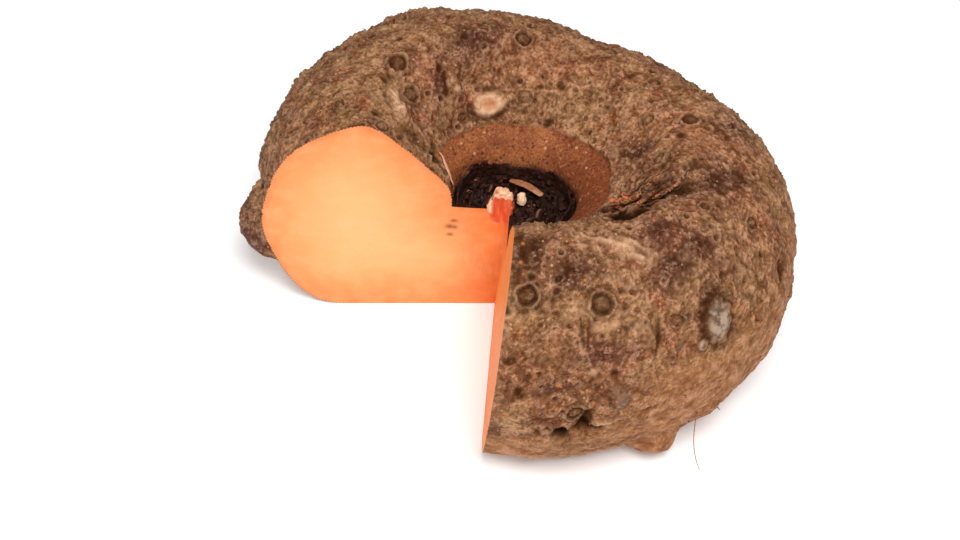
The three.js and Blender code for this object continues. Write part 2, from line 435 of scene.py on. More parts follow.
@dataclass(frozen=True)
class WartySkin:
    """The corm's skin: corky grey-brown, with pale rings, dark hearts, clay low down and a red-brown cup."""

    olive: Colour = (0.310, 0.148, 0.060)
    umber: Colour = (0.205, 0.074, 0.028)
    maroon: Colour = (0.088, 0.024, 0.010)
    rust: Colour = (0.36, 0.105, 0.036)
    rusty_cloud: Colour = (0.33, 0.118, 0.050)
    clay: Colour = (0.44, 0.198, 0.080)
    damp_clay: Colour = (0.32, 0.125, 0.046)
    warm_shade: Colour = (1.0, 0.84, 0.66)
    bleached: Colour = (0.47, 0.285, 0.185)
    straw: Colour = (0.52, 0.295, 0.170)
    chalk: Colour = (0.70, 0.41, 0.235)
    ember: Colour = (0.58, 0.19, 0.06)
    dark_brown_and_shade: Colour = (0.036, 0.012, 0.004)
    pit: Colour = (0.022, 0.008, 0.004)
    ash: Colour = (0.41, 0.295, 0.21)
    dark_ash: Colour = (0.115, 0.070, 0.042)
    cup: Colour = (0.40, 0.128, 0.042)
    cup_deep: Colour = (0.265, 0.070, 0.022)
    cup_painted_shade: Colour = (0.20, 0.046, 0.014)
    cup_fleck: Colour = (0.58, 0.24, 0.095)
    cup_dot: Colour = (0.100, 0.028, 0.012)
    cup_pale_dot: Colour = (0.62, 0.30, 0.15)

    def cork(self, board: NodeBoard) -> Socket:
        """The cork's broad colours, from earth and rust to clay, and its light and dark blotches."""
        clay_mark = board.mark("clay")
        earth = board.blend(board.span(board.grain(17, 4), 0.40, 0.60), self.olive, self.umber)
        clay = board.blend(board.span(board.grain(6, 4), 0.3, 0.7), self.clay, self.damp_clay)
        cloud = board.span(board.grain(11, 5, 0.6, 0.6, (1.1, 0.9, 1.0)), 0.56, 0.70, 0.0, 0.66)
        ground = board.layered(
            earth,
            (board.span(board.grain(8.5, 4), 0.57, 0.72, 0.0, 0.55), self.rust),
            (clay_mark, clay),
            (board.times(cloud, board.span(clay_mark, 0.0, 1.0, 1.0, 0.35)), self.maroon),
            (board.mark("rust"), self.rusty_cloud),
            # dusk carries the skin's reddish clouds and, about the fold, a broad band of painted shade.
            (board.mark("dusk"), self.maroon),
        )
        blotch = board.span(board.grain(5.2, 4, 0.6, 0.5), 0.33, 0.67, 0.56, 1.42)
        mottle = board.span(board.grain(1.5, 4, 0.62, 0.3), 0.32, 0.66, 0.58, 1.38)
        tone = board.times(blotch, mottle)
        toned = board.span(clay_mark, 0.2, 1.0, 1.0, 0.5)
        ground = board.blend(toned, ground, board.grey(tone), "MULTIPLY")
        ground = board.blend(board.span(tone, 0.95, 0.45, 0.0, 1.0), ground, self.warm_shade, "MULTIPLY")
        return board.blend(board.span(tone, 1.05, 1.75, 0.0, 0.5), ground, self.bleached)

    def marked(self, board: NodeBoard, ground: Socket) -> Socket:
        """The cork with its fine dots and with the colours that the pressed marks carry."""
        fine_dots = (
            (2.4, 0.13, 0.32, self.dark_brown_and_shade),
            (3.2, 0.11, 0.34, self.straw),
            (4.3, 0.10, 0.26, self.ember),
        )
        for size, radius, share, colour in fine_dots:
            ground = board.blend(board.dots(size, radius, radius + 0.08, 0.82, share), ground, colour)
        flaky = board.span(board.grain(1.9, 4, 0.6, 0.6), 0.36, 0.56, 0.40, 1.0)
        ash = board.blend(board.span(board.grain(3.4, 5), 0.40, 0.60), self.dark_ash, self.ash)
        return board.layered(
            ground,
            # light: the pale rings and lips, with painted highlight on raised places; dark: the dark hearts,
            # dots and cracks, with painted shade in hollows, seams, the fold, holes and under the button.
            (board.times(board.mark("light"), 0.86), self.straw),
            (board.times(board.mark("dark"), 0.92), self.dark_brown_and_shade),
            (board.mark("ember"), self.ember),
            (board.times(board.mark("chalk"), flaky), self.chalk),
            (board.mark("grey"), ash),
        )

    def cup_wall(self, board: NodeBoard) -> Socket:
        """The smooth red-brown wall of the cup, dotted dark and pale, with painted shade on its right part.
        """
        return board.layered(
            board.blend(board.span(board.grain(9, 3), 0.38, 0.62), self.cup, self.cup_deep),
            (board.mark("dusk"), self.cup_painted_shade),
            (board.span(board.grain(1.4, 4), 0.52, 0.70, 0.0, 0.62), self.cup_fleck),
            (board.span(board.grain(1.0, 3), 0.60, 0.42, 0.0, 0.5), self.cup_dot),
            (board.span(board.cells(3.7), 0.15, 0.25, 0.85, 0.0), self.cup_dot),
            (board.dots(2.3, 0.18, 0.32, 0.8, 0.5), self.cup_dot),
            (board.dots(4.6, 0.12, 0.20, 0.7, 0.4), self.cup_pale_dot),
        )

    def material(self) -> bpy.types.Material:
        """The finish as a material."""
        board = NodeBoard("warty_skin")
        cork = self.marked(board, self.cork(board))
        ground = board.layered(cork, (board.mark("cup"), self.cup_wall(board)), (board.mark("pit"), self.pit))
        board.set(Base_Color=ground, Specular_IOR_Level=board.span(board.mark("dark"), 0.0, 0.8, 0.15, 0.0))
        board.set(Roughness=board.span(board.grain(2.5, 3), 0.3, 0.7, 0.52, 0.84))
        crumbs = board.calc("SUBTRACT", 1.0, board.cells(0.9))
        board.relief((board.grain(2.2, 5, 0.6, 0.3), 0.42), (crumbs, 0.08), (board.grain(0.45, 2), 0.06))
        return board.material


@dataclass(frozen=True)
class CutFlesh:
    """Moist cut flesh: pale apricot in the middle, deeper orange at the skin, browned and partly painted
    shadow at the inner corner; painted shade and reflected orange light deepen the right face and the inner
    corner.
    """

    depths: tuple[tuple[float, Colour], ...] = (
        (0.0, (0.78, 0.215, 0.055)),
        (0.07, (0.84, 0.29, 0.085)),
        (0.26, (0.83, 0.345, 0.110)),
        (0.52, (0.83, 0.420, 0.150)),
        (0.95, (0.82, 0.500, 0.198)),
    )
    warm: Colour = (0.87, 0.215, 0.046)
    cloud: Colour = (0.88, 0.58, 0.28)
    freckle: Colour = (0.72, 0.27, 0.08)
    blush: Colour = (0.66, 0.115, 0.028)
    spot: Colour = (0.26, 0.060, 0.016)
    bark: Colour = (0.12, 0.050, 0.022)
    red_bark: Colour = (0.72, 0.13, 0.05)

    def material(self) -> bpy.types.Material:
        """The finish as a material."""
        board = NodeBoard("cut_flesh")
        wander = board.times(board.calc("SUBTRACT", board.grain(9, 4), 0.5), 0.16)
        tone = board.ramp(board.calc("ADD", board.mark("inset"), wander), self.depths)
        streak = board.span(board.grain(1.8, 4, 0.6, 0.3, (1, 1, 0.25)), 0.30, 0.66, 0.25, 1.0)
        edge = board.calc("ADD", board.mark("inset"), board.times(board.grain(1.6, 4), 0.012))
        bark = board.blend(board.mark("rim"), self.bark, self.red_bark)
        tone = board.layered(
            tone,
            # warmth: on the right face it is painted shade; towards the inner corner it is painted shade and
            # reflected orange light; low on the left face it is the flesh's own deeper orange.
            (board.mark("warmth"), self.warm),
            (board.span(board.grain(7, 4), 0.35, 0.75, 0.0, 0.2), self.cloud),
            (board.times(board.dots(2.6, 0.05, 0.13, 1.0, 0.35), 0.6), self.freckle),
            # stain: the red streaks under the bud are the flesh's own; by the corner it is partly painted
            # shadow, and under the pit on the right face it is painted shade.
            (board.times(board.mark("stain"), streak), self.blush),
            (board.mark("spots"), self.spot),
            (board.span(edge, 0.012, 0.020, 1.0, 0.0), bark),
        )
        board.set(Base_Color=tone, Roughness=board.span(board.grain(1.2, 3), 0.3, 0.7, 0.42, 0.62))
        gloss = board.span(board.mark("warmth"), 0.4, 0.85, 0.36, 0.12)
        board.set(Specular_IOR_Level=gloss, Subsurface_Weight=0.12, Subsurface_Scale=0.004)
        board.relief((board.grain(1.4, 5, 0.6), 0.10), (board.grain(0.5, 2, 0.5, 0.0, (1, 1, 0.3)), 0.06))
        return board.material


@dataclass(frozen=True)
class BudFlesh:
    """The halved bud: orange-red inside, whitish pink at the top and along the sheath, brown outside."""

    inside: Colour = (0.66, 0.068, 0.018)
    inside_light: Colour = (0.78, 0.16, 0.045)
    pale: Colour = (0.84, 0.28, 0.13)
    cream: Colour = (0.86, 0.60, 0.38)
    outside: Colour = (0.30, 0.06, 0.03)
    flesh: Colour = (0.83, 0.315, 0.10)

    def material(self) -> bpy.types.Material:
        """The finish as a material."""
        board = NodeBoard("bud_flesh")
        streaks = board.grain(1.6, 4, 0.6, 0.2, (1, 1, 0.22))
        body = board.layered(
            board.blend(board.span(streaks, 0.42, 0.66), self.inside, self.inside_light),
            (board.mark("pale"), board.blend(streaks, self.pale, self.cream)),
            (board.mark("cream"), self.cream),
            (board.mark("root"), self.flesh),
        )
        colour = board.blend(board.mark("cut"), self.outside, body)
        board.set(Base_Color=colour, Roughness=0.5, Specular_IOR_Level=0.3)
        board.set(Subsurface_Weight=0.1, Subsurface_Scale=0.002)
        board.relief((streaks, 0.25), (board.grain(0.6, 3), 0.06))
        return board.material


@dataclass(frozen=True)
class WitheredScale:
    """Scales of last season's leaf, withered nearly black, a little glossy, with fibres."""

    dark: Colour = (0.022, 0.006, 0.003)
    red: Colour = (0.120, 0.020, 0.008)
    fibre: Colour = (0.16, 0.055, 0.025)
    tan: Colour = (0.30, 0.12, 0.05)

    def material(self) -> bpy.types.Material:
        """The finish as a material."""
        board = NodeBoard("withered_scale")
        fibres = board.grain(0.9, 4, 0.6, 0.3, (1, 1, 0.18))
        colour = board.blend(board.span(board.grain(2.6, 4), 0.52, 0.68, 0.0, 0.62), self.dark, self.red)
        colour = board.blend(board.span(fibres, 0.60, 0.74, 0.0, 0.3), colour, self.fibre)
        colour = board.blend(board.mark("tan"), colour, self.tan)
        board.set(Base_Color=colour, Specular_IOR_Level=0.22)
        board.set(Roughness=board.span(board.grain(2.0, 3), 0.32, 0.62, 0.30, 0.85))
        board.relief((fibres, 0.35), (board.grain(1.3, 4), 0.45))
        return board.material


@dataclass(frozen=True)
class PaperyHusk:
    """Dry tan husk with lengthwise fibres."""

    tan: Colour = (0.39, 0.155, 0.070)
    brown: Colour = (0.28, 0.095, 0.035)
    pale: Colour = (0.74, 0.40, 0.23)

    def material(self) -> bpy.types.Material:
        """The finish as a material."""
        board = NodeBoard("papery_husk")
        fibres = board.grain(0.7, 4, 0.6, 0.5)
        colour = board.blend(board.span(fibres, 0.36, 0.66), self.brown, self.tan)
        colour = board.blend(board.mark("pale"), colour, self.pale)
        board.set(Base_Color=colour, Roughness=0.68, Specular_IOR_Level=0.3)
        board.relief((fibres, 0.2))
        return board.material


@dataclass(frozen=True)
class DryRoot:
    """Dry wiry roots, orange-brown to nearly black."""

    amber: Colour = (0.50, 0.17, 0.05)
    bright: Colour = (0.64, 0.17, 0.06)
    dark: Colour = (0.10, 0.035, 0.015)
    aged: Colour = (0.045, 0.018, 0.008)

    def material(self) -> bpy.types.Material:
        """The finish as a material."""
        board = NodeBoard("dry_root")
        bark = board.grain(1.1, 4, 0.6, 0.3)
        colour = board.blend(board.span(bark, 0.40, 0.62), self.dark, self.amber)
        colour = board.blend(board.mark("bright"), colour, self.bright)
        colour = board.blend(board.mark("aged"), colour, self.aged)
        board.set(Base_Color=colour, Roughness=0.66, Specular_IOR_Level=0.35)
        board.relief((bark, 0.3), (board.grain(0.4, 2), 0.08))
        return board.material


@dataclass(frozen=True)
class WhiteTable:
    """A plain white table."""

    white: Colour = (0.96, 0.96, 0.965)
    off_white: Colour = (0.95, 0.95, 0.955)

    def material(self) -> bpy.types.Material:
        """The finish as a material."""
        board = NodeBoard("white_table")
        faint = board.blend(board.grain(300, 2), self.white, self.off_white)
        board.set(Base_Color=faint, Roughness=0.75, Specular_IOR_Level=0.2)
        board.set(Emission_Color=faint, Emission_Strength=0.14)
        return board.material


# ---------------------------------------------------------------- the corm


@dataclass(frozen=True)
class Notch:
    """Where the quarter was cut out: one face along -X, the other along -Y and leaning."""

    pit_x: float = 2.516
    pit_y: float = -2.480
    corner: float = -3.0
    level: float = 66.0
    lean: float = math.tan(math.radians(6.0))
    skew: float = math.tan(math.radians(4.2))
    floor_height: float = 60.5

    def from_pit(self, place: Place) -> np.ndarray:
        """A place given from the pit's middle line, in the row frame."""
        return np.array(place) + np.array([self.pit_x, self.pit_y, 0.0])

    def round_pit(self, radius: np.ndarray, azimuth: np.ndarray, height: np.ndarray) -> np.ndarray:
        """Places at a radius and azimuth about the pit's middle line, in the row frame."""
        x, y = radius * np.cos(azimuth), radius * np.sin(azimuth)
        return np.stack([self.pit_x + x, self.pit_y + y, height], -1)

    def pit_distance(self, points: np.ndarray) -> np.ndarray:
        """How far places lie from the pit's middle line."""
        return np.hypot(points[..., 0] - self.pit_x, points[..., 1] - self.pit_y)

    def right_face_x(self, y: np.ndarray, z: np.ndarray) -> np.ndarray:
        """The right face's x at that y and height."""
        return self.pit_x + self.corner + (z - self.level) * self.lean + (y - self.pit_y) * self.skew

    def right_normal(self) -> np.ndarray:
        """The direction that the right face looks in."""
        return unit(np.array([-1.0, self.skew, self.lean]))

    def left_normal(self) -> np.ndarray:
        """The direction that the left face looks in."""
        return np.array([0.0, -1.0, 0.0])

    def corner_at(self, height: float) -> np.ndarray:
        """The place on the line where the two faces meet."""
        return np.array([self.right_face_x(self.pit_y, height), self.pit_y, height])

    def right_azimuth(self, radius: float, height: float) -> float:
        """The azimuth about the pit where a point of that radius and height lies in the right face."""
        turn = math.atan(self.skew)
        reach = (self.corner + (height - self.level) * self.lean) * math.cos(turn) / radius
        return -turn - math.acos(max(-1.0, min(1.0, reach)))

    def kept(self, points: np.ndarray, margin: float) -> np.ndarray:
        """Which points lie in the part of the corm that is left, by at least that margin."""
        beyond = points[..., 0] - self.right_face_x(points[..., 1], points[..., 2])
        return (points[..., 1] > self.pit_y + margin) | (beyond > margin)


class Mark(Enum):
    """What a root or a cormel left on the skin."""

    BUTTON = "a pale round scar where a cormel broke off"
    EYE = "a big round root scar with a pale ring and a dark heart"
    RINGED = "a root scar with two pale rings and a small dark heart"
    SCAR = "a small root scar with a raised rim"
    PIMPLE = "a small corky pimple"
    SPECK = "a small glossy orange speck in a dark ring"
    KNOB = "a raised ash-grey knob"
    LUMP = "a plain raised lump"
    # The hole's dark is painted shade inside it.
    HOLE = "a dark hole"
    # The gap's black is painted shade in the fold's pockets and in the front hole.
    GAP = "a black gap"
    PATCH = "a dark reddish patch"
    DUSK = "a broad dark reddish cloud"
    RUST = "a broad rusty cloud"

    def waver(self) -> float:
        """How far its edge wavers, as a share of its radius."""
        return {Mark.BUTTON: 0.07, Mark.EYE: 0.12}.get(self, 0.24)

    def form(self, t: np.ndarray) -> dict[str, np.ndarray]:
        """Its shape and colours.

        Args:
            t: the distance from its middle, 1 at its edge.

        Returns:
            "rise" as a share of its height, and the colour marks from 0 to 1.
        """
        if self is Mark.BUTTON:
            disc, ring, trench = plateau(t, 0.88, 10), hump(t, 0.66, 0.24), hump(t, 1.14, 0.12)
            rise = 0.55 * disc + 0.55 * ring - 0.3 * hump(t, 0.0, 0.3) - trench
            # The dark at the outer trench is a painted shadow; press() keeps it only below the raised disc.
            colours = {"light": disc, "dark": hump(t, 1.14, 0.15), "chalk": 0.95 * ring}
            return {"rise": rise, **colours, "ember": 0.55 * hump(t, 0.1, 0.36)}
        if self is Mark.EYE:
            ring, trench = hump(t, 0.96, 0.12), hump(t, 0.70, 0.17)
            rise = 0.8 * ring - 0.9 * trench + 0.8 * hump(t, 0.0, 0.46) - 0.5 * hump(t, 1.24, 0.14)
            dark = 0.95 * trench + 0.62 * plateau(t, 0.62, 4) + 0.5 * hump(t, 1.22, 0.12)
            light = 0.72 * ring + 0.25 * hump(t, 0.15, 0.2)
            return {"rise": rise, "light": light, "dark": np.minimum(dark, 0.95)}
        if self is Mark.RINGED:
            ring, heart = hump(t, 0.86, 0.15) + 0.5 * hump(t, 0.45, 0.12), hump(t, 0.0, 0.26)
            dark = 0.85 * heart + 0.5 * hump(t, 1.15, 0.12)
            return {"rise": 0.7 * ring - 0.8 * heart, "light": 0.72 * ring, "dark": dark}
        if self is Mark.SCAR:
            ring, heart = hump(t, 0.80, 0.26), hump(t, 0.0, 0.50)
            return {"rise": 1.1 * ring - 0.9 * heart, "light": 0.70 * ring, "dark": 0.92 * heart}
        if self is Mark.PIMPLE:
            top = hump(t, 0.0, 0.72)
            return {"rise": top, "light": top, "dark": 0.4 * hump(t, 1.15, 0.2)}
        if self is Mark.SPECK:
            dot = hump(t, 0.0, 0.55)
            return {"rise": dot, "ember": dot, "dark": 0.7 * hump(t, 1.05, 0.3)}
        if self is Mark.KNOB:
            grey, dark = 0.9 * plateau(t, 0.80, 6), 0.9 * hump(t, 1.06, 0.22)
            return {"rise": plateau(t, 0.9, 4), "grey": grey, "dark": dark}
        if self is Mark.HOLE:
            # The dark well is painted shade inside the hole.
            well = plateau(t, 1.0, 4)
            rise, light = 0.25 * hump(t, 1.15, 0.2) - well, 0.3 * hump(t, 1.1, 0.15)
            return {"rise": rise, "dark": well, "light": light}
        if self is Mark.GAP:
            # The dark and the pit colour in the well are painted shade inside the gap.
            well = plateau(t, 1.1, 6)
            return {"rise": -well, "dark": well, "pit": 0.97 * well}
        if self is Mark.PATCH:
            stain = np.exp(-(t**2) * 1.4)
            return {"rise": -0.5 * stain, "dark": 0.66 * stain}
        if self is Mark.DUSK:
            return {"rise": 0.0 * t, "dusk": np.exp(-(t**2) * 1.2)}
        if self is Mark.RUST:
            return {"rise": 0.0 * t, "rust": 0.62 * np.exp(-(t**2) * 1.2)}
        return {"rise": np.exp(-(t**2) * 1.3)}


@dataclass(frozen=True)
class Spot:
    """One mark on the skin: its place from the pit's middle line, and its radius and height.

    The stretch draws it out along the heading, which turns from across the skin to up it, in radians.
    """

    kind: Mark
    place: Place
    radius: float
    height: float
    stretch: float = 1.0
    heading: float = 0.0


@dataclass(frozen=True)
class Slit:
    """A long mark between two places: a crack where its height is negative, a ridge where it isn't.

    It adds a share of one of the skin's colour marks.
    """

    start: Place
    end: Place
    width: float
    height: float
    colour: str = "dark"
    share: float = 1.0


# Each row has a place from the pit's middle line, a radius and a height, and perhaps a stretch and a heading.
PLACED_MARKS: dict[Mark, tuple[tuple, ...]] = {
    Mark.BUTTON: (((-13, 39, 89), 6.6, 1.5, 1.15),),
    Mark.EYE: (
        ((3, 62, 108), 4.6, 1.1), ((-53, 42, 110), 5.2, 0.8), ((1, -90, 98), 4.9, 1.7),
        ((30, -92, 96), 5.4, 1.7), ((73, 10, 103), 4.4, 1.1), ((98, 11, 94), 4.6, 1.2),
    ),
    Mark.RINGED: (
        ((31, -95, 94), 7.2, 0.4), ((45, -100, 86), 5, 0.6), ((40, -84, 102), 4, 0.8),
        ((89, -70, 87), 5.4, 0.9),
    ),
    Mark.PIMPLE: (
        ((-38, 31, 94), 2.2, 0.9), ((-31, 36, 93), 2.2, 0.9), ((-27, 41, 95), 2.4, 0.9),
        ((-35, 26, 89), 2.1, 0.8), ((-42, 20, 92), 2.2, 0.9), ((27, -107, 73), 2.4, 0.8),
        ((77, -94, 61), 2.9, 0.8),
    ),
    Mark.SPECK: (
        ((-1, -63, 105), 1.1, 0.6), ((0, -70, 106), 1.2, 0.6), ((-1, -79, 105), 1.1, 0.6),
        ((14, -108, 67), 1.7, 0.9), ((-1, -99, 88), 1.3, 0.8), ((4, -108, 72), 1.4, 0.8),
        ((87, -78, 79), 1.4, 0.7), ((92, -76, 72), 1.2, 0.7),
    ),
    Mark.KNOB: (
        ((77, -86, 81), 8.6, 2.8, 1.25, 1.35), ((70, -93, 74), 2.6, 1.2),
    ),
    Mark.LUMP: (
        ((39, -109, 61), 6.5, 1.6), ((54, -97, 17), 6, 0.8),
    ),
    Mark.HOLE: (
        ((108, -52, 73), 4.2, 1.8, 1.3, 1.4), ((15, -112, 41), 4.4, 4.2, 1.3, 1.5),
    ),
    # Gaps in the fold and at the front hole, painted black as shade in the pockets.
    Mark.GAP: (
        ((38, -44, 99), 4.6, 0.8), ((40, -49, 103), 4.6, 0.8), ((44, -50, 104), 4, 0.8),
        ((47, -47, 104), 3.8, 0.8), ((51, -42, 101), 3.4, 0.8), ((41, -23, 82), 2.6, 0.8),
        ((44, -26, 86), 2.6, 0.8), ((48, -28, 89), 2.6, 0.8), ((56, -32, 97), 2.8, 0.6, 1.4, 0.3),
        ((15, -112, 41), 3, 0.8, 1.2, 1.5), ((24, -112, 47), 2.2, 0.8),
    ),
    Mark.PATCH: (
        ((18, -81, 105), 6.4, 1.4), ((-48, 10, 96), 4.6, 1.6), ((-46, 7, 94), 4, 1),
        ((-1, -66, 106), 3.6, 1.2), ((-1, -75, 106), 3.8, 1.2), ((-2, -83, 103), 3.8, 1.2),
        ((3, -70, 106), 4.4, 1.2), ((3, -79, 105), 4.6, 1.4),
    ),
    Mark.DUSK: (
        ((72, -84, 88), 9, 0, 1.3, 0.9), ((12, -108, 66), 7, 0, 1.5, 0.2),
        ((19, -84, 104), 10, 0, 1.2, 0.3), ((58, -77, 101), 12, 0, 1.3, 0.3),
        ((30, -104, 80), 8, 0, 1.4, 0.1), ((39, -109, 61), 6, 0, 1.3, 1.1),
        ((-20, 58, 109), 13, 0, 1.4, 0.3), ((-35, 42, 100), 7, 0, 1.5, 1.2),
        ((54, -63, 106), 12, 0, 1.3, 0.2), ((70, -66, 102), 11, 0), ((-1, -75, 106), 8, 0, 1.5, 1.5),
        ((4, -73, 106), 8, 0, 1.4, 1.5), ((61, -30, 99), 10, 0, 1.3, 0.2), ((-112, 18, 37), 17, 0),
        ((80, -27, 100), 14, 0, 1.3, 2.6), ((50, 2, 95), 8, 0, 1.3, 1), ((92, 12, 96), 10, 0),
    ),
    Mark.RUST: (
        ((-39, 44, 105), 15, 0, 1.3, 1.2), ((10, 52, 102), 22, 0, 1.5, 0.2),
        ((73, 3, 103), 24, 0, 1.3, 0.8), ((88, -34, 99), 22, 0, 1.2, 1.5),
        ((60, -64, 105), 16, 0, 1.5, 0.2), ((20, -104, 72), 16, 0, 1.4, 0.2),
    ),
}
SPOTS = tuple(Spot(kind, *row) for kind, rows in PLACED_MARKS.items() for row in rows)
SLITS = (
    Slit((-55, 28, 106), (-52, 16, 101), 3, 1, "chalk"),
    Slit((-33, 46, 102), (-31, 36, 95), 1, -1),
    Slit((22, -95, 93), (23, -103, 82), 0.75, -1.2),
    Slit((25, -96, 93), (25, -103, 82), 0.6, -0.9),
    Slit((52, -92, 89), (51, -102, 76), 0.95, -1.2),
    Slit((18, -63, 107), (31, -68, 106), 0.9, 0.8, "chalk", 0.42),
    Slit((29, -67, 106), (38, -70, 105), 1.5, 0.9, "chalk", 0.62),
    Slit((36, -68, 105), (43, -73, 103), 2.7, 1.1, "chalk", 0.72),
    Slit((42, -73, 104), (50, -75, 102), 1.3, 0.9, "chalk", 0.58),
    Slit((38, -66, 106), (52, -73, 103), 1, 0.8, "chalk", 0.52),
    # Along the fold: a dark line that is painted shade in the crease.
    Slit((55, -29, 96), (66, -32, 101), 3.4, -1, "dark", 0.85),
    Slit((-38, 9, 82), (-29, 5, 66), 1.3, -0.8),
    Slit((23, -112, 45), (27, -111, 54), 2.3, -3),
    Slit((18, -112, 45), (33, -111, 44), 1.6, -2, "dark", 0.95),
    Slit((28, -111, 47), (36, -110, 48), 1.1, 1.5, "chalk", 0.7),
)


@dataclass(frozen=True)
class Scatter:
    """A crowd of marks over the whole skin: how many are tried, how far apart, and their sizes.

    The height is a share of the radius.
    """

    tries: int
    apart: float
    radius: tuple[float, float]
    height: float


@dataclass
class Corm:
    """The corm's skin, from the foot over the crest into the cup and the pit.

    The radii and heights of the cup's rim and of the pit are at equal steps of azimuth from +X. Each
    place of the fold is an x and y from the pit and a depth. The cup ends at one bearing at its rim and
    at another at its foot, in degrees. Each size of pebble has a height and a shade.
    """

    notch: Notch = field(default_factory=Notch)
    columns: int = 640
    core_radius: float = 66.0
    core_height: float = 50.0
    outside: float = 120.0
    foot_angle: float = -78.0
    cup_radius: tuple[float, ...] = (41, 35, 34, 38, 38, 38, 38, 40)
    cup_height: tuple[float, ...] = (82, 82, 82, 82, 83, 84, 84, 82)
    pit_radius: tuple[float, ...] = (25, 23, 23, 28, 29, 29, 28, 26)
    pit_height: float = 62.0
    pit_dish: float = 1.5
    lowest_ground: float = 58.0
    flank_rows: int = 236
    wall_rows: int = 30
    floor_rows: int = 22
    under_rows: int = 16
    seam_row: int = 150
    smoothing: int = 10
    cut_inset: float = math.radians(0.4)
    fold: tuple[Place, ...] = (
        (37, -24, 7), (46, -30, 6.5), (58, -34, 4.2), (74, -30, 1.8), (88, -20, 0), (112, -10, 0),
    )
    cup_end: tuple[float, float] = (160.5, 168.5)
    big: Scatter = Scatter(700, 12.5, (2.6, 4.6), 0.34)
    small: Scatter = Scatter(5200, 4.4, (1.3, 2.5), 0.40)
    fine: Scatter = Scatter(7000, 2.3, (0.8, 1.35), 0.42)
    big_kinds: tuple[Mark, ...] = (Mark.EYE, Mark.RINGED, Mark.LUMP, Mark.HOLE)
    big_shares: tuple[float, ...] = (0.4, 0.2, 0.3, 0.1)
    blank_marks: tuple[str, ...] = ("light", "dark", "grey", "ember", "chalk", "rust", "pit")
    scar_share: float = 0.86
    speck_share: float = 0.05
    pebble_sizes: tuple[Place, ...] = ((5.2, 0.70, 0.36), (2.7, 0.34, 0.28))
    seed: int = 11

    def __post_init__(self) -> None:
        """Reads the CAD corm and draws the unevenness."""
        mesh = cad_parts["corm"].data
        places = [v.co / MM for v in mesh.vertices]
        self.cad = BVHTree.FromPolygons(places, [tuple(p.vertices) for p in mesh.polygons])
        self.draw = np.random.default_rng(self.seed)
        self.lumps = Grain(self.seed)
        self.patches = Grain(self.seed + 1)

    # -- the plain surface

    def section(self, azimuth: float, angle: float, inset: float = 0.0) -> tuple[float, float]:
        """Where the skin's section is, looking out from its core at that azimuth and angle above level.

        Args:
            azimuth: about the pit, in radians.
            angle: above level, in radians; past a right angle it looks over the pit.
            inset: how far the azimuth is moved into the corm, in radians.

        Returns:
            The radius from the pit's middle and the height.
        """
        run, climb = math.cos(angle), math.sin(angle)
        far = self.outside if run > -0.5 else min(self.outside, (self.core_radius - 3.0) / -run)
        turn = azimuth + inset
        out = Vector((math.cos(turn) * run, math.sin(turn) * run, climb))
        core = Vector((
            self.notch.pit_x + self.core_radius * math.cos(turn),
            self.notch.pit_y + self.core_radius * math.sin(turn),
            self.core_height,
        ))
        length = far - self.cad.ray_cast(core + out * far, -out)[3]
        return self.core_radius + run * length, self.core_height + climb * length

    def rim_angle(self, azimuth: float) -> float:
        """The angle above level of the cup's rim at that azimuth, in radians."""
        rise = float(around(self.cup_height, azimuth)) - self.core_height
        return math.atan2(rise, float(around(self.cup_radius, azimuth)) - self.core_radius)

    def angles(self, azimuth: float) -> np.ndarray:
        """The angle of each skin and wall row at that azimuth, in radians."""
        rim, start = self.rim_angle(azimuth), math.radians(self.foot_angle)
        pit_run = float(around(self.pit_radius, azimuth)) - self.core_radius
        foot = math.atan2(self.pit_height - self.core_height, pit_run)
        flank = start + self.spacing * (rim - start)
        wall = rim + (foot - rim) * np.arange(1, self.wall_rows + 1) / self.wall_rows
        return np.concatenate([flank, wall])

    def even_spacing(self) -> np.ndarray:
        """Shares of the angle from foot to rim that make rows of equal height on the back's section."""
        back = math.pi / 2
        start, rim = math.radians(self.foot_angle), self.rim_angle(back)
        shares = np.linspace(0, 1, 260)
        line = np.array([self.section(back, start + s * (rim - start)) for s in shares])
        length = np.concatenate([[0], np.cumsum(np.linalg.norm(np.diff(line, axis=0), axis=1))])
        return np.interp(np.linspace(0, length[-1], self.flank_rows), length, shares)

    def plain_grid(self) -> np.ndarray:
        """The CAD corm's skin as even rows and columns, its facets smoothed away.

        Returns:
            (rows, columns, 3) places from the foot to the foot of the pit's wall.
        """
        self.spacing = self.even_spacing()
        rows = self.flank_rows + self.wall_rows
        first = np.full(rows, -math.pi / 2)
        for _ in range(3):
            for i in range(rows):
                radius, height = self.section(first[i], self.angles(first[i])[i], self.cut_inset)
                first[i] = self.notch.right_azimuth(radius, height)
        share = np.linspace(0, 1, self.columns)
        azimuth = first[:, None] + (math.pi - first[:, None]) * share
        radius = np.zeros((rows, self.columns))
        height = np.zeros((rows, self.columns))
        insets = {0: self.cut_inset, self.columns - 1: -self.cut_inset}
        for j in range(self.columns):
            angle = self.angles(float(azimuth[:, j].mean()))
            for i in range(rows):
                radius[i, j], height[i, j] = self.section(azimuth[i, j], angle[i], insets.get(j, 0.0))
        rim = self.flank_rows
        for part in (radius[:rim], height[:rim], radius[rim:], height[rim:]):
            part[:] = self.evened(part, self.smoothing)
        return self.pinned(self.notch.round_pit(radius, azimuth, np.maximum(height, 0.0)))

    @staticmethod
    def evened(values: np.ndarray, rounds: int) -> np.ndarray:
        """The values with each one averaged with its neighbours, some rounds over, the ends kept in line."""
        for _ in range(rounds):
            for axis in (0, 1):
                swung = np.moveaxis(values, axis, 0)
                ahead = np.concatenate([swung[1:], 2 * swung[-1:] - swung[-2:-1]])
                behind = np.concatenate([2 * swung[:1] - swung[1:2], swung[:-1]])
                values = np.moveaxis(0.5 * swung + 0.25 * (ahead + behind), 0, axis)
        return values

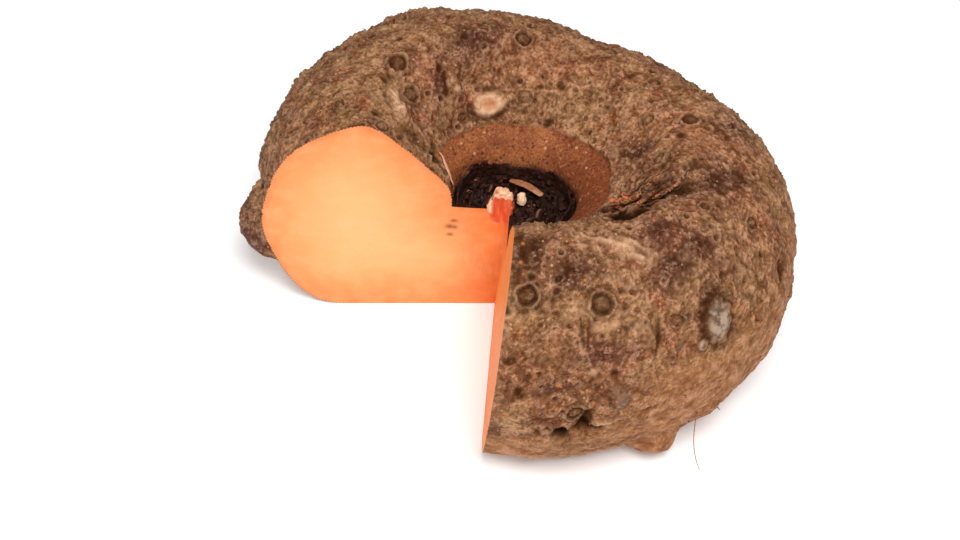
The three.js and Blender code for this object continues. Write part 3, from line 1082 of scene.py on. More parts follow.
    def pinned(self, places: np.ndarray) -> np.ndarray:
        """The grid with its first and last columns exactly in the cut faces."""
        places[:, -1, 1] = self.notch.pit_y
        places[:, 0, 0] = self.notch.right_face_x(places[:, 0, 1], places[:, 0, 2])
        return places

    @staticmethod
    def outward(places: np.ndarray) -> tuple[np.ndarray, np.ndarray]:
        """Each grid point's outward direction and the area round it."""
        normal = np.cross(np.gradient(places, axis=1), np.gradient(places, axis=0))
        return unit(normal), np.linalg.norm(normal, axis=-1)

    def measure_grid(self) -> None:
        """Works out each grid point's directions and steps, and how edges waver and paint is worn there."""
        self.normal, self.area = self.outward(self.base)
        self.across = unit(np.gradient(self.base, axis=1))
        self.up = np.cross(self.normal, self.across)
        steps = (np.linalg.norm(np.gradient(self.base, axis=axis), axis=-1) for axis in (0, 1))
        self.row_step, self.column_step = steps
        self.waver = self.lumps.at(self.base + 70, 3.4)
        self.worn = 0.25 + 0.75 * smoothstep(-0.25, 0.35, self.patches.at(self.base + 50, 3.8))

    def lay_zones(self) -> None:
        """Works out where the cup, the clay and the pit's foot are, where the skin is clear for marks, and
        where painted shade darkens the cup's right part.
        """
        x, y, z = np.moveaxis(self.base, -1, 0)
        rows, patchy = len(self.base), self.patches
        row = np.arange(rows)[:, None] + 2.0 * patchy.at(self.base, 9)
        self.past_rim = (row - self.flank_rows) * 0.75
        down_wall = np.clip((row - self.flank_rows) / self.wall_rows, 0, 1)
        bearing = np.degrees(np.arctan2(y - self.notch.pit_y, x - self.notch.pit_x))
        end = self.cup_end[0] + (self.cup_end[1] - self.cup_end[0]) * down_wall
        self.before_end = smoothstep(end + 1.0, end - 1.0, bearing)
        self.in_cup = smoothstep(-0.4, 0.4, self.past_rim) * self.before_end
        self.clear = (1 - self.in_cup) * (0.25 + 0.75 * smoothstep(0.0, 6.0, z))
        low = smoothstep(50, 24, z + 9 * patchy.at(self.base, 26))
        side = smoothstep(58, 106, x - 0.35 * y + 10 * patchy.at(self.base, 17))
        side = side * smoothstep(86, 60, z + 8 * patchy.at(self.base, 12))
        self.clay = np.clip(low + 0.85 * side, 0, 1) * (1 - self.in_cup)
        self.foot = smoothstep(rows - 9, rows - 1, row + 2.5 * self.lumps.at(self.base, 3.5))
        # Painted shade: the cup's wall darkens towards its right part, which faces away from the light.
        shaded = smoothstep(70.0, 15.0, bearing + 12 * patchy.at(self.base, 12))
        self.marks = {key: np.zeros(z.shape) for key in self.blank_marks}
        self.marks |= {"clay": self.clay, "cup": self.in_cup, "dusk": 0.85 * self.in_cup * shaded}

    def stain(self, colour: str, share: np.ndarray, part: tuple[slice, ...] = (...,)) -> None:
        """Adds a colour mark to the skin, or to a part of it, where it is stronger than what is there."""
        marks = self.marks[colour][part]
        np.maximum(marks, share, out=marks)

    # -- the marks on it

    def scattered(
        self, area: np.ndarray, count: int, apart: float, taken: list[np.ndarray]
    ) -> list[tuple[int, int]]:
        """Grid points spread at random over the skin, none nearer than that to another.

        Args:
            area: the area round each grid point, 0 where nothing may go.
            count: how many are tried.
            apart: the least distance in millimetres.
            taken: places that are taken; new ones are added.

        Returns:
            Row and column of each.
        """
        weight = (area / area.sum()).ravel()
        tries = self.draw.choice(area.size, size=count, replace=False, p=weight)
        found = []
        used = np.array(taken).reshape(-1, 3)
        for pick in tries:
            i, j = divmod(int(pick), area.shape[1])
            here = self.base[i, j]
            if len(used) and np.min(((used - here) ** 2).sum(1)) < apart * apart:
                continue
            used = np.vstack([used, here])
            found.append((i, j))
        taken[:] = list(used)
        return found

    def press(self, spot: Spot, i: int, j: int, tint: float = 1.0) -> None:
        """Presses one mark into the skin round a grid point.

        Args:
            spot: the mark; its place is the grid point's.
            i: the row.
            j: the column.
            tint: how strongly it is coloured.
        """
        reach = 1.6 * spot.radius * max(spot.stretch, 1 / spot.stretch)
        down, side = (int(reach / max(step[i, j], 0.2)) + 2 for step in (self.row_step, self.column_step))
        window = (slice(max(0, i - down), i + down + 1), slice(max(0, j - side), j + side + 1))
        off = self.base[window] - self.base[i, j]
        across, up = self.across[i, j], self.up[i, j]
        cos, sin = math.cos(spot.heading), math.sin(spot.heading)
        along = off @ (across * cos + up * sin) / spot.stretch
        aside = off @ (up * cos - across * sin) * spot.stretch
        level = off @ self.normal[i, j]
        edge = spot.radius * (1 + spot.kind.waver() * self.waver[window])
        t = np.sqrt(along**2 + aside**2 + 0.5 * level**2) / edge
        form = spot.kind.form(t)
        if spot.kind is Mark.BUTTON:
            # Painted shadow: the trench's dark is kept only below the raised disc, where its shadow falls.
            below = smoothstep(-0.5, 0.5, off @ up / spot.radius)
            form["dark"] = form["dark"] * below
            form["rise"] = form["rise"] + (1 - below) * 0.9 * hump(t, 1.14, 0.12)
        elif "light" in form:
            form["light"] = form["light"] * (0.35 + 0.65 * self.worn[window])
        fade = self.clear[window]
        self.rise[window] += spot.height * form.pop("rise") * fade
        for key, values in form.items():
            self.stain(key, values * tint * fade, window)

    def nearest(self, place: Place) -> tuple[int, int]:
        """The row and column of the skin's grid point that is nearest to a place given from the pit."""
        off = ((self.base - self.notch.from_pit(place)) ** 2).sum(-1)
        return divmod(int(off.argmin()), self.base.shape[1])

    def press_slit(self, slit: Slit) -> None:
        """Presses one long mark into the skin."""
        start, end = (self.base[self.nearest(place)] for place in (slit.start, slit.end))
        line = end - start
        t = np.clip(((self.base - start) @ line) / (line @ line), 0, 1)
        ragged = slit.width * (1 + 0.6 * self.lumps.at(self.base, 2.5))
        off = self.base - start - t[..., None] * line
        off = off - 0.85 * (off * self.normal).sum(-1, keepdims=True) * self.normal
        off = np.linalg.norm(off, axis=-1)
        taper = np.sqrt(np.maximum(0.05, 1 - (2 * t - 1) ** 4))
        body = hump(off / ragged, 0.0, 1.0) * taper
        self.rise += slit.height * body * self.clear
        self.stain(slit.colour, slit.share * body)

    def press_named(self) -> None:
        """Presses the marks that have a place of their own."""
        for spot in SPOTS:
            self.press(spot, *self.nearest(spot.place))
        for slit in SLITS:
            self.press_slit(slit)

    def press_scattered(self) -> None:
        """Presses the warts, root scars, holes and pimples that cover the whole skin."""
        open_skin = self.area * (self.clear > 0.5)
        draw, big, small, fine = self.draw, self.big, self.small, self.fine
        taken = [self.notch.from_pit(spot.place) for spot in SPOTS if spot.radius > 2.5]
        for i, j in self.scattered(open_skin, big.tries, big.apart, taken):
            radius = draw.uniform(*big.radius)
            kind = self.big_kinds[int(draw.choice(len(self.big_kinds), p=self.big_shares))]
            self.press(self.chance_spot(kind, radius, big.height), i, j, draw.uniform(0.5, 1.0))
        for i, j in self.scattered(open_skin, small.tries, small.apart, list(taken)):
            radius = draw.uniform(*small.radius)
            kind = Mark.SCAR if draw.random() < self.scar_share else Mark.HOLE
            self.press(self.chance_spot(kind, radius, small.height), i, j, draw.uniform(0.3, 1.0))
        for i, j in self.scattered(open_skin, fine.tries, fine.apart, []):
            radius = draw.uniform(*fine.radius)
            tint = 0.95 * draw.random() ** 1.6
            kind = Mark.SPECK if draw.random() < self.speck_share else Mark.PIMPLE
            self.press(self.chance_spot(kind, radius, fine.height), i, j, tint)

    def chance_spot(self, kind: Mark, radius: float, height: float) -> Spot:
        """A mark with a chance stretch and heading, its height a share of its radius."""
        stretch = self.draw.uniform(0.85, 1.25)
        height = height * radius * self.draw.uniform(0.6, 1.3)
        return Spot(kind, (0, 0, 0), radius, height, stretch, self.draw.uniform(0, math.pi))

    def shape_skin(self) -> None:
        """Works out how far each grid point rises and what colour marks it carries."""
        self.measure_grid()
        self.lay_zones()
        self.rise = 0.9 * self.lumps.at(self.base, 24) + 0.95 * self.lumps.at(self.base + 40, 11.5)
        self.rise += 0.60 * self.lumps.at(self.base, 5.2) + 0.28 * self.patches.at(self.base, 2.6)
        self.pebble_skin()
        self.rise *= self.clear
        calm = self.clear.copy()
        self.clear = calm * (1 - 0.55 * self.clay)
        self.press_scattered()
        self.clear = calm
        self.press_named()
        self.crack()
        # Painted shade in the hollows and painted highlight on the raised places.
        self.stain("dark", 0.68 * smoothstep(-0.3, -1.5, self.rise) * self.clear)
        self.stain("light", 0.34 * smoothstep(0.7, 1.9, self.rise) * self.clear)
        self.rise *= 0.30 + 0.70 * self.off_the_cut()
        self.crease_fold()
        self.edge_cup()

    def edge_cup(self) -> None:
        """Raises the cup's worn lip, rumples its wall a little and darkens the pit's foot."""
        lip = 0.8 * hump(self.past_rim, -1.4, 1.1) - 0.55 * hump(self.past_rim, 1.0, 1.2)
        self.rise += lip * self.before_end
        rumple = 0.35 * self.lumps.at(self.base, 7.5) + 0.10 * self.patches.at(self.base, 2.2)
        self.rise += rumple * self.in_cup
        self.stain("light", 0.5 * hump(self.past_rim, -0.4, 0.55) * self.before_end * self.worn)
        self.stain("pit", self.foot)

    def off_the_cut(self) -> np.ndarray:
        """0 at the cut faces, rising to 1 a few millimetres into the skin."""
        x, y, z = np.moveaxis(self.base, -1, 0)
        from_left = np.where(x < self.notch.pit_x, y - self.notch.pit_y, FAR)
        from_right = np.where(y < self.notch.pit_y, x - self.notch.right_face_x(y, z), FAR)
        return smoothstep(0.2, 4.5, np.minimum(from_left, from_right))

    def pebble_skin(self) -> None:
        """Breaks the cork into small pebbly plates with dark seams between them; the seams are partly painted
        shade in the crevices, and some plates' tops partly painted highlight.
        """
        bent = self.base + 1.5 * self.lumps.drift(self.base, 5, (3, 36, 67))
        patchy = smoothstep(-0.05, 0.5, self.patches.at(self.base + 20, 16))
        strength = (0.12 + 0.88 * patchy) * (1 - 0.7 * self.clay)
        for size, height, shade in self.pebble_sizes:
            nearest, farther, chance = self.lumps.pebbles(bent, size)
            plate = smoothstep(0.0, 0.26, farther)
            dome = plate * (1 - 0.6 * nearest**2) * (0.55 + 0.9 * chance) - 0.55
            self.rise += height * dome * strength
            # The dark seams are partly painted shade in the crevices between the plates.
            self.stain("dark", shade * (1 - plate) * strength * self.clear)
            # A paler top on some plates, partly painted highlight.
            crest = 0.34 * plate * smoothstep(0.55, 0.2, nearest) * smoothstep(0.72, 0.95, chance)
            self.stain("light", crest * self.clear)

    def crease_fold(self) -> None:
        """Deepens the fold beside the cup and paints shade into it: a dark crease and a broad darker band
        about it.
        """
        plan = self.base[..., :2] - np.array([self.notch.pit_x, self.notch.pit_y])
        plan = plan + 1.8 * self.lumps.drift(self.base, 9, (5, 44))
        on_top = smoothstep(58, 66, self.base[..., 2]) * (self.marks["cup"] < 0.5)
        nearest = np.full(plan.shape[:2], FAR)
        depth = np.zeros(plan.shape[:2])
        for (ax, ay, deep), (bx, by, shallow) in zip(self.fold, self.fold[1:]):
            line = np.array([bx - ax, by - ay])
            t = np.clip((plan - np.array([ax, ay])) @ line / (line @ line), 0, 1)
            off = np.hypot(plan[..., 0] - ax - t * line[0], plan[..., 1] - ay - t * line[1])
            depth = np.where(off < nearest, deep + (shallow - deep) * t, depth)
            nearest = np.minimum(off, nearest)
        self.rise -= 0.7 * depth * hump(nearest, 0.0, 2.4) * on_top
        # Painted shade: the crease and a broad band about it are darkened where the fold's shadow falls.
        self.stain("dark", np.clip(0.30 * depth, 0, 1) * plateau(nearest, 4.4, 4) * on_top)
        self.stain("dusk", np.clip(0.24 * depth, 0, 0.9) * hump(nearest, 0.0, 12.0) * on_top)

    def crack(self) -> None:
        """Cracks the cork between the warts and wrinkles the clay."""
        bent = self.base + 2.2 * self.patches.drift(self.base, 6, (0, 31, 62))
        line = hump(self.lumps.at(bent, 8.5), 0.0, 0.085)
        line = line * smoothstep(-0.15, 0.35, self.patches.at(self.base, 15)) * self.clear
        self.rise -= 0.45 * line
        self.stain("dark", 0.5 * line)
        flat = self.base * np.array([0.35, 0.35, 1.0])
        wrinkle = hump(self.lumps.at(flat + 9, 5.0), 0.0, 0.10) * self.clay * self.clear
        self.rise -= 0.35 * wrinkle
        self.stain("dark", 0.45 * wrinkle)

    # -- the meshes

    def whole_grid(self) -> tuple[np.ndarray, dict[str, np.ndarray]]:
        """The skin's grid with the underside before it and the pit's floor after it.

        Returns:
            The places, from the corner's foot to its top, and the colour marks.
        """
        normal = self.normal.copy()
        for column, face in ((0, self.notch.right_normal()), (-1, self.notch.left_normal())):
            held = normal[:, column]
            normal[:, column] = unit(held - (held @ face)[:, None] * face)
        skin = self.base + normal * self.rise[..., None]
        skin[..., 2] = np.maximum(skin[..., 2], 0.0)
        skin = self.pinned(skin)
        bottom, top = self.notch.corner_at(0.0), self.notch.corner_at(self.notch.floor_height)
        under = np.linspace(0, 1, self.under_rows, endpoint=False)[:, None, None]
        underside = bottom + (skin[:1] - bottom) * under
        rings = (np.arange(1, self.floor_rows + 1) / self.floor_rows)[:, None, None]
        floor = skin[-1:] + (top - skin[-1:]) * rings
        off_edge = 1 - smoothstep(0.97, 1.0, np.abs(np.linspace(-1, 1, self.columns)))
        rumple = 0.8 * self.lumps.at(floor, 3.2) * off_edge * np.sin(rings[..., 0] * math.pi)
        dish = self.pit_dish * (1 - (1 - rings[..., 0]) ** 2)
        floor[..., 2] = self.pit_height - dish + rumple
        floor[-1] = top
        marks = {}
        for key, values in self.marks.items():
            before = np.repeat(values[:1], self.under_rows, 0)
            after = np.full((self.floor_rows, self.columns), float(key == "pit"))
            marks[key] = np.concatenate([before, values, after])
        marks["clay"][: self.under_rows] = 1.0
        return np.concatenate([underside, skin, floor]), marks

    def band(self, name: str, first: int, last: int) -> Piece:
        """One piece of the skin, of the whole grid's rows from first to last.

        Where it ends in a corner of the notch, that row is one point.

        Args:
            name: the piece's name.
            first: its first row.
            last: its last row, shared with the next band.

        Returns:
            The piece.
        """
        block = self.places[first : last + 1]
        count, width = block.shape[:2]
        corner = np.arange(count * width).reshape(count, width)
        quads = np.stack([corner[:-1, :-1], corner[:-1, 1:], corner[1:, 1:], corner[1:, :-1]], -1)
        faces = [tuple(face) for face in quads.reshape(-1, 4).tolist()]
        kept = np.ones(count * width, bool)
        if first == 0:
            faces = [(0, *face[2:]) if face[0] < width else face for face in faces]
            kept[1:width] = False
        if last == self.places.shape[0] - 1:
            tip = (count - 1) * width
            faces = [(face[0], face[1], tip) if face[2] >= tip else face for face in faces]
            kept[tip + 1 :] = False
        new_number = (np.cumsum(kept) - 1).tolist()
        faces = [tuple(new_number[k] for k in face) for face in faces]
        marks = {key: values[first : last + 1].reshape(-1)[kept] for key, values in self.skin_marks.items()}
        piece = new_piece(name, block.reshape(-1, 3)[kept], faces, marks)
        normal = self.place_normals[first : last + 1].reshape(-1, 3)[kept]
        piece.data.normals_split_custom_set_from_vertices(normal.tolist())
        return piece

    def build(self) -> list[Piece]:
        """Builds and dresses the skin.

        Returns:
            The pieces.
        """
        self.base = self.plain_grid()
        self.shape_skin()
        self.places, self.skin_marks = self.whole_grid()
        self.place_normals, _ = self.outward(self.places)
        skin = WartySkin().material()
        bands = (("skin_flank", 0, self.seam_row), ("skin_crown", self.seam_row, len(self.places) - 1))
        return [dress(self.band(*band), skin, "skin", "corm") for band in bands]

    def ground(self, x: float, y: float) -> float:
        """The dressed skin's height at that place, seen from above."""
        places = self.places.reshape(-1, 3)
        off = (places[:, 0] - x) ** 2 + (places[:, 1] - y) ** 2
        off[places[:, 2] < self.lowest_ground] = np.inf
        return float(places[int(off.argmin())][2])


@dataclass
class CutFaces:
    """The flesh in the two cut faces.

    Each spot on the left face has an x from the pit, a height and a size.
    """

    corm: Corm
    middle_out: float = 60.0
    middle_height: float = 48.0
    flesh_depth: float = 40.0
    inner_rings: int = 39
    edge_rings: int = 13
    corner_steps: int = 61
    edge_share: float = 0.9
    spots: tuple[Place, ...] = (
        (-28.5, 53.5, 1.4), (-30.5, 50, 1.8), (-28.5, 49.5, 1.4), (-30.5, 45, 1.3),
    )

    def build(self) -> list[Piece]:
        """Builds and dresses the flesh.

        Returns:
            The pieces.
        """
        flesh, notch = CutFlesh().material(), self.corm.notch
        out_right = notch.pit_y - self.middle_out
        right = [float(notch.right_face_x(out_right, self.middle_height)), out_right, self.middle_height]
        left = [notch.pit_x - self.middle_out, notch.pit_y, self.middle_height]
        pieces = [
            new_piece("cut_flesh_left", *self.face(-1, np.array(left), notch.left_normal())),
            new_piece("cut_flesh_right", *self.face(0, np.array(right), notch.right_normal())),
        ]
        return [dress(piece, flesh, "flesh", "corm") for piece in pieces]

    def face(
        self, column: int, middle: np.ndarray, normal: np.ndarray
    ) -> tuple[np.ndarray, Faces, dict[str, np.ndarray]]:
        """A cut face as rings of points round its middle, out to the skin and down the corner.

        Args:
            column: the skin's column that it ends at, 0 for the right face and -1 for the left.
            middle: where its rings are centred.
            normal: the direction that it looks in.

        Returns:
            Points, faces and marks.
        """
        skin = self.corm.places[:, column]
        corner = skin[-1] + (skin[0] - skin[-1]) * np.linspace(0, 1, self.corner_steps + 1)[1:-1, None]
        outline = np.concatenate([skin, corner])
        inner = np.linspace(0, self.edge_share, self.inner_rings + 1)[1:]
        share = np.concatenate([inner, np.linspace(self.edge_share, 1.0, self.edge_rings + 1)[1:]])
        rings = middle + (outline - middle) * share[:, None, None]
        points = np.concatenate([middle[None], rings.reshape(-1, 3)])
        edge = np.concatenate([[0.0], np.repeat(share, len(outline))])
        away = np.full(len(points), FAR**2)
        for place in skin[::2]:
            away = np.minimum(away, ((points - place) ** 2).sum(1))
        away = np.sqrt(away)
        held = smoothstep(0.0, 3.0, away) * (1 - smoothstep(0.97, 1.0, edge))
        points = points + normal * (self.ripple(points) * held)[:, None]
        marks = self.left_marks(points) if column else self.right_marks(points)
        marks["inset"] = away / self.flesh_depth
        marks["rim"] = smoothstep(30.0, 26.0, self.corm.notch.pit_distance(points))
        return points, self.ring_faces(len(outline), len(share), column == 0), marks

    def ripple(self, points: np.ndarray) -> np.ndarray:
        """How far the knife's marks stand out at some points, in millimetres."""
        lumps, patches = self.corm.lumps, self.corm.patches
        strokes = 0.05 * np.sin(points[:, 2] * 0.9 + 3 * lumps.at(points, 30))
        return 0.22 * patches.at(points, 13) + 0.06 * lumps.at(points, 2.4) + strokes

    def corner_brown_and_shadow(self, points: np.ndarray) -> np.ndarray:
        """How far the flesh is browned beside the corner where the faces meet: partly browning, partly
        painted shadow in the corner.
        """
        off = (points - self.corm.notch.corner_at(22.0)) / np.array([17.0, 17.0, 24.0])
        return np.exp(-(off**2).sum(1))

    def right_marks(self, points: np.ndarray) -> dict[str, np.ndarray]:
        """How stained, spotted and warm the right face is at its points: its warmth and the stain under the
        pit are painted shade, the stain by the corner partly painted shadow.
        """
        from_pit = self.corm.notch.pit_distance(points)
        # Painted shade at the top of the right face, under the pit.
        under_pit = smoothstep(32.0, 24.0, from_pit) * smoothstep(40.0, 60.0, points[:, 2])
        stain = np.clip(0.15 * self.corner_brown_and_shadow(points) + 0.5 * under_pit, 0, 1)
        return {"stain": stain, "spots": np.zeros(len(points)), "warmth": np.full(len(points), 0.95)}

    def left_marks(self, points: np.ndarray) -> dict[str, np.ndarray]:
        """How stained, spotted and warm the left face is at its points: towards the inner corner its warmth
        is painted shade and reflected orange light, and its browning partly painted shadow.
        """
        corm, height = self.corm, points[:, 2]
        inward = points[:, 0] - corm.notch.pit_x
        below_bud = hump(corm.notch.pit_distance(points), 6.0, 5.5) * smoothstep(43.0, 57.0, height)
        low = smoothstep(26, 4, height + 5.0 * corm.lumps.at(points, 16))
        by_corner = smoothstep(-40, -6, inward + 4.0 * corm.patches.at(points, 14))
        spots = np.zeros(len(points))
        for x, z, size in self.spots:
            off = ((inward - x) / size) ** 2 + ((height - z) / (0.7 * size)) ** 2
            spots = np.maximum(spots, np.exp(-off))
        return {
            "stain": np.clip(0.40 * self.corner_brown_and_shadow(points) + 0.95 * below_bud, 0, 1),
            "spots": spots,
            "warmth": 0.85 * np.clip(by_corner + 0.45 * low, 0, 1),
        }

    @staticmethod
    def ring_faces(count: int, rings: int, turned: bool) -> Faces:
        """The faces between a middle point and rings of points round it.

        Args:
            count: how many points a ring has.
            rings: how many rings there are.
            turned: whether the faces look the other way.

        Returns:
            Rows of point numbers.
        """
        turn = np.arange(count)
        after = (turn + 1) % count
        faces = list(zip([0] * count, (1 + turn).tolist(), (1 + after).tolist()))
        for here in range(1 + count, 1 + rings * count, count):
            inner = here - count
            block = np.stack([inner + turn, here + turn, here + after, inner + after], -1)
            faces += [tuple(face) for face in block.tolist()]
        return [tuple(reversed(face)) for face in faces] if turned else faces


# ---------------------------------------------------------------- what stands in the pit


def tube(route: np.ndarray, radii: np.ndarray, sides: int, squash: float = 1.0) -> tuple[np.ndarray, Faces]:
    """A closed strand along a route.

    Args:
        route: (n, 3) places in millimetres.
        radii: its radius at each place.
        sides: how many faces go round it.
        squash: its thickness as a share of its width.

    Returns:
        Points and faces.
    """
    heading = unit(np.gradient(route, axis=0))
    aside = unit(np.cross(heading, np.array([0.13, 0.21, 0.97])))
    over = np.cross(aside, heading)
    turn = (np.arange(sides) / sides * math.tau)[None, :, None]
    ring = np.cos(turn) * aside[:, None] + squash * np.sin(turn) * over[:, None]
    rings = (route[:, None] + ring * radii[:, None, None]).reshape(-1, 3)
    pairs = [(k, (k + 1) % sides) for k in range(sides)]
    last = len(rings) - sides
    start, end = len(rings), len(rings) + 1
    faces: Faces = []
    for here in range(0, last, sides):
        there = here + sides
        faces += [(there + k, there + m, here + m, here + k) for k, m in pairs]
    for k, m in pairs:
        faces += [(k, m, start), (last + m, last + k, end)]
    return np.concatenate([rings, route[:1], route[-1:]]), faces


def crumb(radii: np.ndarray, sides: int, rings: int) -> tuple[np.ndarray, Faces]:
    """A closed ball about the origin, with a radius along each axis.

    Args:
        radii: the three radii in millimetres.
        sides: how many faces go round it.
        rings: how many bands of faces it has from pole to pole.

    Returns:
        Points and faces.
    """
    turn = np.arange(sides) / sides * math.tau
    tilt = np.arange(1, rings) / rings * math.pi
    ball = [(0.0, 0.0, 1.0)]
    ball += [(math.sin(b) * math.cos(a), math.sin(b) * math.sin(a), math.cos(b)) for b in tilt for a in turn]
    ball.append((0.0, 0.0, -1.0))
    end = len(ball) - 1
    faces: Faces = []
    for k in range(sides):
        m = (k + 1) % sides
        faces.append((0, 1 + k, 1 + m))
        faces.append((end, end - sides + m, end - sides + k))
        for ring in range(rings - 2):
            here = 1 + ring * sides
            faces.append((here + k, here + sides + k, here + sides + m, here + m))
    return np.array(ball) * radii, faces


class Bundle:
    """Many small meshes gathered into one piece."""

    def __init__(self) -> None:
        """Starts empty."""
        self.points: list[np.ndarray] = []
        self.faces: Faces = []
        self.marks: dict[str, list[np.ndarray]] = {}
        self.count = 0

    def add(self, points: np.ndarray, faces: Faces, **marks: float) -> None:
        """Adds one mesh, with one value for each named mark."""
        self.points.append(points)
        self.faces += [tuple(k + self.count for k in face) for face in faces]
        for key, value in marks.items():
            self.marks.setdefault(key, []).append(np.full(len(points), value))
        self.count += len(points)

    def piece(self, name: str) -> Piece:
        """The bundle as one object."""
        marks = {key: np.concatenate(values) for key, values in self.marks.items()}
        return new_piece(name, np.concatenate(self.points), self.faces, marks)


@dataclass
class Crown:
    """The halved bud, the withered scales round it, the papery strip and the litter on the pit's floor."""

    corm: Corm
    bud_x: float = -7.6
    bud_top: float = 72.0
    scales: tuple[str, ...] = (
        "outer_scale_right",
        "outer_scale_left",
        "middle_scale_right",
        "middle_scale_back",
        "middle_scale_left",
        "inner_scale_right",
        "inner_scale_left",
    )
    short_torn: str = "outer_scale_right"
    paper_top: float = 82.6
    paper_drop: float = 12.5
    paper_radius: float = 37.2
    paper_inward: float = 8.0
    paper_turn: float = 9.5
    floor: float = 61.0
    litter_radius: float = 25.0
    litter_edge: float = 27.5
    crumbs: int = 260
    crumb_arcs: tuple[tuple[float, float], ...] = ((2.4, 3.1), (0.0, math.tau), (0.0, math.tau))
    shreds: int = 46
    shred_steps: int = 12
    seed: int = 5

    def build(self) -> list[Piece]:
        """Builds and dresses everything in the pit.

        Returns:
            The pieces.
        """
        self.draw = np.random.default_rng(self.seed)
        self.grain = Grain(self.seed)
        middle = [self.bud(), self.chip(), *self.withered_scales(), self.strip()]
        return [*middle, self.edge_paper(), self.litter()]

    def bud(self) -> Piece:
        """The halved bud with its sheaths."""
        piece = fine_copy("shoot_bud", "halved_bud", 0.28)
        points, normals = points_of(piece), normals_of(piece)
        cut = self.bud_cut(points, normals)
        x, _, z = points.T
        across = x - self.corm.notch.pit_x - self.bud_x
        sheath = hump(across, -5.0, 0.6) + 0.5 * hump(across, -2.4, 0.35) + 0.5 * hump(across, 3.2, 0.3)
        uneven = 1.6 * self.grain.at(points, 1.9)
        top = smoothstep(self.bud_top - 3.4, self.bud_top - 1.4, z + uneven + 0.25 * across)
        cream = hump(across, -5.0 + 0.25 * uneven, 1.1) * smoothstep(57, 60, z)
        cream = np.maximum(cream, 0.8 * top * smoothstep(0.2, 0.7, uneven))
        root = smoothstep(55.0, 50.0, z + uneven + 0.3 * across)
        height = smoothstep(self.bud_top - 11, self.bud_top, z)
        lobes = 0.35 * self.grain.at(points * np.array([1, 1, 0.35]), 2.2) + 0.2 * self.grain.at(points, 1.1)
        points = points + normals * ((1 - cut) * lobes)[:, None]
        points[:, 1] -= 0.25 * cut * (normals[:, 1] < -0.4) - 0.22 * sheath * cut
        points[:, 2] -= 2.4 * height + 4.6 * height * smoothstep(-2.4, -4.6, across)
        points[:, 2] -= 2.2 * height * np.maximum(0, self.grain.at(points * np.array([1, 1, 0.3]), 2.3))
        move_points(piece, points)
        set_marks(piece, {"cut": np.maximum(cut, top), "pale": 0.85 * top, "cream": cream, "root": root})
        return dress(piece, BudFlesh().material(), "bud", "shoot_bud")

    def bud_cut(self, points: np.ndarray, normals: np.ndarray) -> np.ndarray:
        """1 where the bud's points lie in one of the cut faces, 0 elsewhere."""
        notch = self.corm.notch
        x, y, z = points.T
        left = smoothstep(0.55, 0.15, y - notch.pit_y) * (normals[:, 1] < -0.4)
        right = smoothstep(0.8, 0.3, np.abs(x - notch.right_face_x(y, z))) * (normals[:, 0] < -0.4)
        return np.maximum(left, right)

    def chip(self) -> Piece:
        """The whitish chip beside the bud."""
        piece = fine_copy("bud_chip", "whitish_chip", 0.22)
        points = swollen(piece, 0.3 * self.grain.at(points_of(piece), 1.3))
        move_points(piece, points)
        ones = np.ones(len(points))
        set_marks(piece, {"cut": ones, "pale": ones, "cream": 0.75 * ones, "root": 0 * ones})
        return dress(piece, BudFlesh().material(), "bud", "bud_chip")

    def withered_scales(self) -> list[Piece]:
        """The withered scales, each rumpled and torn along its upper edge."""
        finish = WitheredScale().material()
        pieces = []
        for number, node in enumerate(self.scales):
            piece = fine_copy(node, node + "_withered", 0.26)
            points = points_of(piece)
            height = (points[:, 2] - points[:, 2].min()) / np.ptp(points[:, 2])
            shift = points + 13.0 * number
            fold = 0.60 * self.grain.at(shift, 4.2) + 0.50 * self.grain.at(shift, 1.9)
            points = swollen(piece, fold * (0.25 + 0.75 * height))
            torn = np.maximum(0, self.grain.at(shift * np.array([1, 1, 0.1]), 3.0) + 0.25)
            torn = torn * (1.6 if node == self.short_torn else 3.2)
            points[:, 2] -= torn * smoothstep(0.35, 1.0, height)
            move_points(piece, points)
            tan = smoothstep(0.1, 0.5, self.grain.at(shift, 5.0)) * smoothstep(0.7, 1.0, height)
            set_marks(piece, {"tan": 0.55 * tan})
            pieces.append(dress(piece, finish, "scale_leaf", node))
        return pieces

    def strip(self) -> Piece:
        """The tan papery strip that lies across the scales."""
        piece = fine_copy("papery_strip", "tan_strip", 0.2)
        points = swollen(piece, 0.16 * self.grain.at(points_of(piece), 1.8))
        move_points(piece, points + np.array([0.4, -1.2, -0.5]))
        set_marks(piece, {"pale": 0.25 * smoothstep(0, 0.6, self.grain.at(points, 3))})
        return dress(piece, PaperyHusk().material(), "papery", "papery_strip")

    def edge_paper(self) -> Piece:
        """The pale papery edge at the left end of the cup."""
        steps = np.linspace(0, 1, 26)
        azimuth = np.radians(self.corm.cup_end[0] - 1.0 + self.paper_turn * steps)
        radius = self.paper_radius - self.paper_inward * steps**0.7
        route = self.corm.notch.round_pit(radius, azimuth, self.paper_top - self.paper_drop * steps)
        route += 0.25 * self.grain.drift(route, 3.0)
        bundle = Bundle()
        bundle.add(*tube(route, 0.25 + 0.6 * np.sin(steps * math.pi) ** 0.7, 8, 0.35), pale=1.0)
        return dress(bundle.piece("cup_edge_paper"), PaperyHusk().material(), "papery")

    def litter(self) -> Piece:
        """Crumbs and shreds of withered scale on the pit's floor, a few of them tan."""
        bundle = Bundle()
        for number in range(self.crumbs):
            self.drop_crumb(bundle, self.crumb_arcs[number % len(self.crumb_arcs)])
        placed = 0
        while placed < self.shreds:
            placed += self.drop_shred(bundle)
        return dress(bundle.piece("pit_litter"), WitheredScale().material(), "scale_leaf")

    @staticmethod
    def bank(radius: float) -> float:
        """How high the litter is banked up at that radius: 0 on the level floor, about 1 at the wall."""
        return max(0.0, (radius - 14) / 12)

